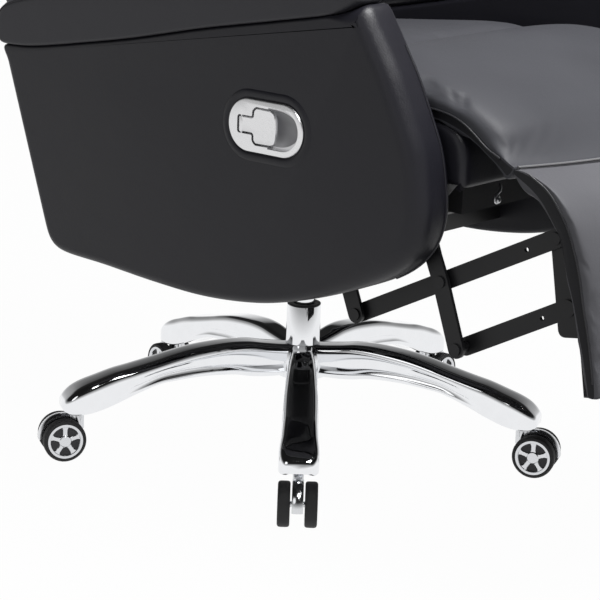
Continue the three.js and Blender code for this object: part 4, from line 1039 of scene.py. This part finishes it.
# %% [markdown]
# ## Piping and seams
# A bead of leather-covered cord is sewn into every edge seam. Each bead follows a line near the
# edge, dropped onto the finished cushion, so it lies on the leather all the way.

# %% Piping
def dropped_on(obj, path, lift):
    """A path in chair millimetres, moved to the nearest points of a mesh."""
    graph = bpy.context.evaluated_depsgraph_get()
    tree = BVHTree.FromObject(obj, graph)
    result = []
    for p in path:
        spot, normal, _, _ = tree.find_nearest(Vector(np.array(p) * MM + OFFSET))
        result.append((np.array(spot) + np.array(normal) * lift * MM - OFFSET) / MM)
    result = np.array(result)
    for _ in range(2):
        result[1:-1] = 0.5 * result[1:-1] + 0.25 * (result[:-2] + result[2:])
    return result


def welt(name, paths, on, body, radius=1.7, lift=0.4, material=PIPING_LEATHER):
    shapes = [tube(dropped_on(on, path, lift), radius, 8) for path in paths]
    return piece(name, *joined(shapes), body, "leather", material, sharp=80)


def both_sides(line, x, lift=0):
    """A side-view line drawn at x on both sides of the chair."""
    return [[(s * x, y, z + lift) for y, z in line] for s in (-1, 1)]


SEAT_SIDE = 250.0
seat_crown = spline([(94, 574), (40, 585), (-60, 596), (-180, 606), (-240, 604)], 60)
knee_edge = spline(KNEE_EDGE[0][1:-1], 80)
leg_edge = spline(LEG_EDGE[0][1:-1], 80)
leg_foot = [[(x, -664, 264) for x in np.linspace(-244, 244, 60)]]
welt("knee_welt", both_sides(knee_edge, SEAT_HALF, -2), knee, "seat", 1.5)
welt("seat_welt", both_sides(seat_crown, SEAT_SIDE), seat_pad, "seat")
welt("leg_welt", both_sides(leg_edge, LEG_HALF) + leg_foot, leg_pad, "footrest", 1.3, 0.2)
for word, sign in SIDES:
    front_edge = spline(in_arm(OUTLINE_SHARES[9:]), 90)
    welt(f"front_welt_{word}", [[(sign * (ARM_INNER + 8), y - 2, z) for y, z in front_edge]],
         bpy.data.objects[f"panel_{word}"], "seat", 1.5, 0.1, BODY_LEATHER)
    crown_edge = spline(in_arm(CROWN_SHARES[:-1]), 120)
    welt(f"crown_welt_{word}", [[(sign * (ARM_OUTER + 6), y, z - 4) for y, z in crown_edge]],
         bpy.data.objects[f"armrest_{word}"], "seat", 1.4, 0.2, BODY_LEATHER)
across = np.linspace(-SEAT_HALF + 3, SEAT_HALF - 3, 90)
seam_path = np.column_stack([across, seam_line(across)])
# The top bead of the knee seam is pale, a painted highlight along the seam's ridge.
piece("knee_seam", *tube(seam_path + (0, -0.3, 1.0), 1.8, 8), "seat", "leather", SEAM_LEATHER_PAINTED_HIGHLIGHT, sharp=80)
piece("leg_seam", *tube(seam_path + (0, -2.2, -1.8), 1.6, 8), "footrest", "leather", PIPING_LEATHER, sharp=80)
print("piping sewn on")

# %% [markdown]
# ## The back
# The back is a thick channelled cushion on an upholstered shell, with a headrest pad. It is made in
# the same way, and its two cross seams are pressed in after the swelling.

# %% Back cushion, shell and headrest
BACK_TILT = math.radians(33)
HINGE = np.array([0, 178.0, 470.0])
CHANNELS = (278.0, 535.0)
PRESS, PRESS_WIDTH = 7.0, 7.0
PRESS_FADES = (196, 234)


def back_frame(points):
    """Row metres to the back's own millimetres: across, rearward and up along the back."""
    p = (points - OFFSET) / MM - HINGE
    c, s = math.cos(BACK_TILT), math.sin(BACK_TILT)
    return np.stack([p[:, 0], p[:, 1] * c - p[:, 2] * s, p[:, 1] * s + p[:, 2] * c], 1)


def from_back(points):
    c, s = math.cos(BACK_TILT), math.sin(BACK_TILT)
    p = np.array(points, float)
    return np.stack([p[:, 0], p[:, 1] * c + p[:, 2] * s, -p[:, 1] * s + p[:, 2] * c], 1) + HINGE


def channelled(points, outward):
    local = back_frame(points)
    facing_front = np.clip((-local[:, 1] - 30) / 30, 0, 1)
    press = sum(np.exp(-((local[:, 2] - v) / PRESS_WIDTH) ** 2) for v in CHANNELS) * PRESS
    press *= 1 - eased(np.abs(local[:, 0]), *PRESS_FADES)
    rear = np.array([0, math.cos(BACK_TILT), -math.sin(BACK_TILT)])
    return points + rear * (press * facing_front * MM)[:, None]


back_pad = pad("back_cushion", "back_pad", "back", SEAT_LEATHER_PAINTED_LIT, shrink=5, cap=11, shape=channelled)
head_pad = pad("headrest_pad", "head_pad", "back", SEAT_LEATHER_PAINTED_LIT, shrink=2, cap=5)
shell = covered("back_shell", "back_shell_skin", "back", 0.006, 14)
side_line = spline([(-60, 18), (-88, 30), (-104, 90), (-118, 160), (-112, 300), (-100, 450), (-86, 600),
                    (-60, 720)], 90)
welt("back_welt", [from_back([(s * 240, y, v) for y, v in side_line]) for s in (-1, 1)], back_pad, "back", 1.8)
welt("channel_seams", [from_back([(x, -118 + 10 * k, v) for x in np.linspace(-236, 236, 80)])
                       for k, v in enumerate(CHANNELS)], back_pad, "back", 1.2, -0.3)
print("back dressed:", len(back_pad.data.vertices), "points")

# %% [markdown]
# ## The covered seat frame
# Under the cushions the frame is wrapped in the arms' leather, and its lower edge is gathered into a
# short hem. A small pale gusset closes each front corner, and a bright hook hangs under the front.

# %% Seat frame covers
covered("seat_box", "seat_frame", "seat", 0.005, 10)
HEM_X, HEM_TOP, HEM_FOOT = 253.2, 492, 476.5


def hem(sign):
    """A gathered edge along the frame's foot: a thin band whose lower line waves."""
    rings = []
    for y in np.linspace(-250, -446, 120):
        pleat = 1.6 * math.sin(y * 0.42) + 0.9 * math.sin(y * 0.97 + 1.0)
        top = HEM_TOP + 0.8 * math.sin(y * 0.3)
        section = [(-6, top), (-0.5, top + 1), (1.2 + 0.3 * pleat, top - 6), (0.4 + 0.6 * pleat, top - 16),
                   (-1.5 + 0.4 * pleat, HEM_FOOT), (-7, HEM_FOOT + 0.3)]
        rings.append([(sign * (HEM_X + a), y, u) for a, u in section])
    return skin(rings)


piece("frame_hem", *joined([hem(-1), hem(1)]), "seat", "cover", BODY_LEATHER, sharp=70)
gusset = [(-424, 482), (-443, 483.5), (-428, 465.5)]
piece("gussets", *joined([skin([[(sign * x, y, z) for y, z in gusset] for x in (257.3, 258.3)])
                          for sign in (-1, 1)]), "seat", "cover", PALE_WEAVE, sharp=40)
hook_path = spline([
    (-158, -434, 470), (-160.5, -437.5, 468.5), (-164, -440, 464), (-170, -441, 461.5), (-175, -441, 457.5),
    (-176.2, -441, 452.8), (-172.5, -441, 449.4), (-168, -441, 451), (-167.4, -441, 455.5), (-170, -441, 457.5),
], 44)
BALL_RADIUS = 3.5
ball = turned([(BALL_RADIUS * math.sin(a) + 0.02, -BALL_RADIUS * math.cos(a))
               for a in np.linspace(0.05, math.pi - 0.05, 12)], (-171.5, -442.5, 452.6), sides=20)
piece("hook", *joined([tube(hook_path, 1.5, 10), ball]), "seat", "satin_metal", GROUND_STEEL,
      ["spring_hook"], sharp=60)
print("seat frame covered")

# %% [markdown]
# ## Steel parts that are already right
# The links, rails, brackets and levers have their true shape in the solids, so they only need a
# finish. Painted steel goes on everything flat and black.

# %% Finishes on the solids
bodies = frame["record"]["behaviour"]["bodies"]
painted_nodes = [n for group in ("front_links", "long_bars", "lower_bars", "rear_links") for n in bodies[group]]
painted_nodes += [n for n in bodies["footrest"] + bodies["back"] if "bracket" in n]
painted_nodes += [n for n in bodies["seat"] if n.startswith(("side_plate", "cross_rail", "swivel_plate"))]
DRESSES = ((painted_nodes, BLACK_PAINT), (["seat_front_rail", "footrest_board"], WEAVE),
           (["lift_rod", "thrust_bearing"], GROUND_STEEL), (["height_lever"], PLASTIC))
for nodes, material in DRESSES:
    for name in nodes:
        mesh = frame["nodes"][name].data
        mesh.materials.clear()
        mesh.materials.append(material)
print("dressed", sum(len(nodes) for nodes, _ in DRESSES), "solids")

# %% [markdown]
# ## Studio
# A white floor and soft lamps. The floor and the world look white to the camera, while the light on
# the chair stays at a plain level. In mirrors the world is white at the horizon and dark overhead,
# and that gives the polished base the black bands that chrome needs to read as chrome.

# %% Floor, lamps and world
FLOOR_HALF = 15
WHITE = (1, 1, 1, 1)
mesh = bpy.data.meshes.new("floor")
corners = [(x * FLOOR_HALF, y * FLOOR_HALF, 0) for x, y in ((-1, -1), (1, -1), (1, 1), (-1, 1))]
mesh.from_pydata(corners, [], [(0, 1, 2, 3)])
floor = bpy.data.objects.new("floor", mesh)
bpy.context.collection.objects.link(floor)
finish = Finish("floor_white")
finish.set(Base_Color=(0.35, 0.35, 0.35, 1), Roughness=0.9)
seen = sum(finish.node("ShaderNodeLightPath", output=ray)
           for ray in ("Is Camera Ray", "Is Glossy Ray", "Is Transmission Ray")).clamped()
glow = finish.node("ShaderNodeEmission", None, {"Color": WHITE})
mixed = finish.node("ShaderNodeMixShader", None, {
    0: seen * 0.98, 1: Value(finish, finish.shader.outputs[0]), 2: glow})
finish.tree.links.new(mixed.socket, finish.output.inputs["Surface"])
mesh.materials.append(finish.material)


def lamp(name, place, aim, size, power):
    data = bpy.data.lights.new(name, "AREA")
    data.shape = "DISK"
    data.size = size
    data.energy = power
    obj = bpy.data.objects.new(name, data)
    bpy.context.collection.objects.link(obj)
    obj.location = place
    obj.rotation_euler = (Vector(aim) - Vector(place)).to_track_quat("-Z", "Y").to_euler()
    return obj


lamp("lamp_top", (0.1, -1.15, 3.0), (0, -0.4, 0.5), 1.5, 150)
lamp("lamp_front", (-1.2, -1.7, 2.6), (-0.3, -0.4, 0.6), 0.9, 20)
lamp("lamp_side", (-3.4, -0.6, 1.9), (0, 0, 0.5), 1.6, 8)

SKY_FILL = 0.15
SKY_BANDS = ((0.0, 0.95), (0.1, 0.7), (0.2, 0.42), (0.3, 0.3), (0.4, 0.02), (0.7, 0.01))

world = bpy.data.worlds.new("studio")
bpy.context.scene.world = world
world.use_nodes = True
tree = world.node_tree
background = tree.nodes["Background"]
background.inputs["Color"].default_value = WHITE
sky = Nodes(tree)
camera_ray = sky.node("ShaderNodeLightPath", output="Is Camera Ray")
glossy_ray = sky.node("ShaderNodeLightPath", output="Is Glossy Ray")
direction = sky.node("ShaderNodeTexCoord", output="Generated")
height = sky.node("ShaderNodeSeparateXYZ", None, {0: direction}, 2)
bands = sky.node("ShaderNodeValToRGB", {"stops": [(at, (v, v, v, 1)) for at, v in SKY_BANDS]}, {0: height})
strength = camera_ray * (1 - SKY_FILL) + glossy_ray * (bands - SKY_FILL) + SKY_FILL
tree.links.new(strength.socket, background.inputs["Strength"])
print("studio lit")
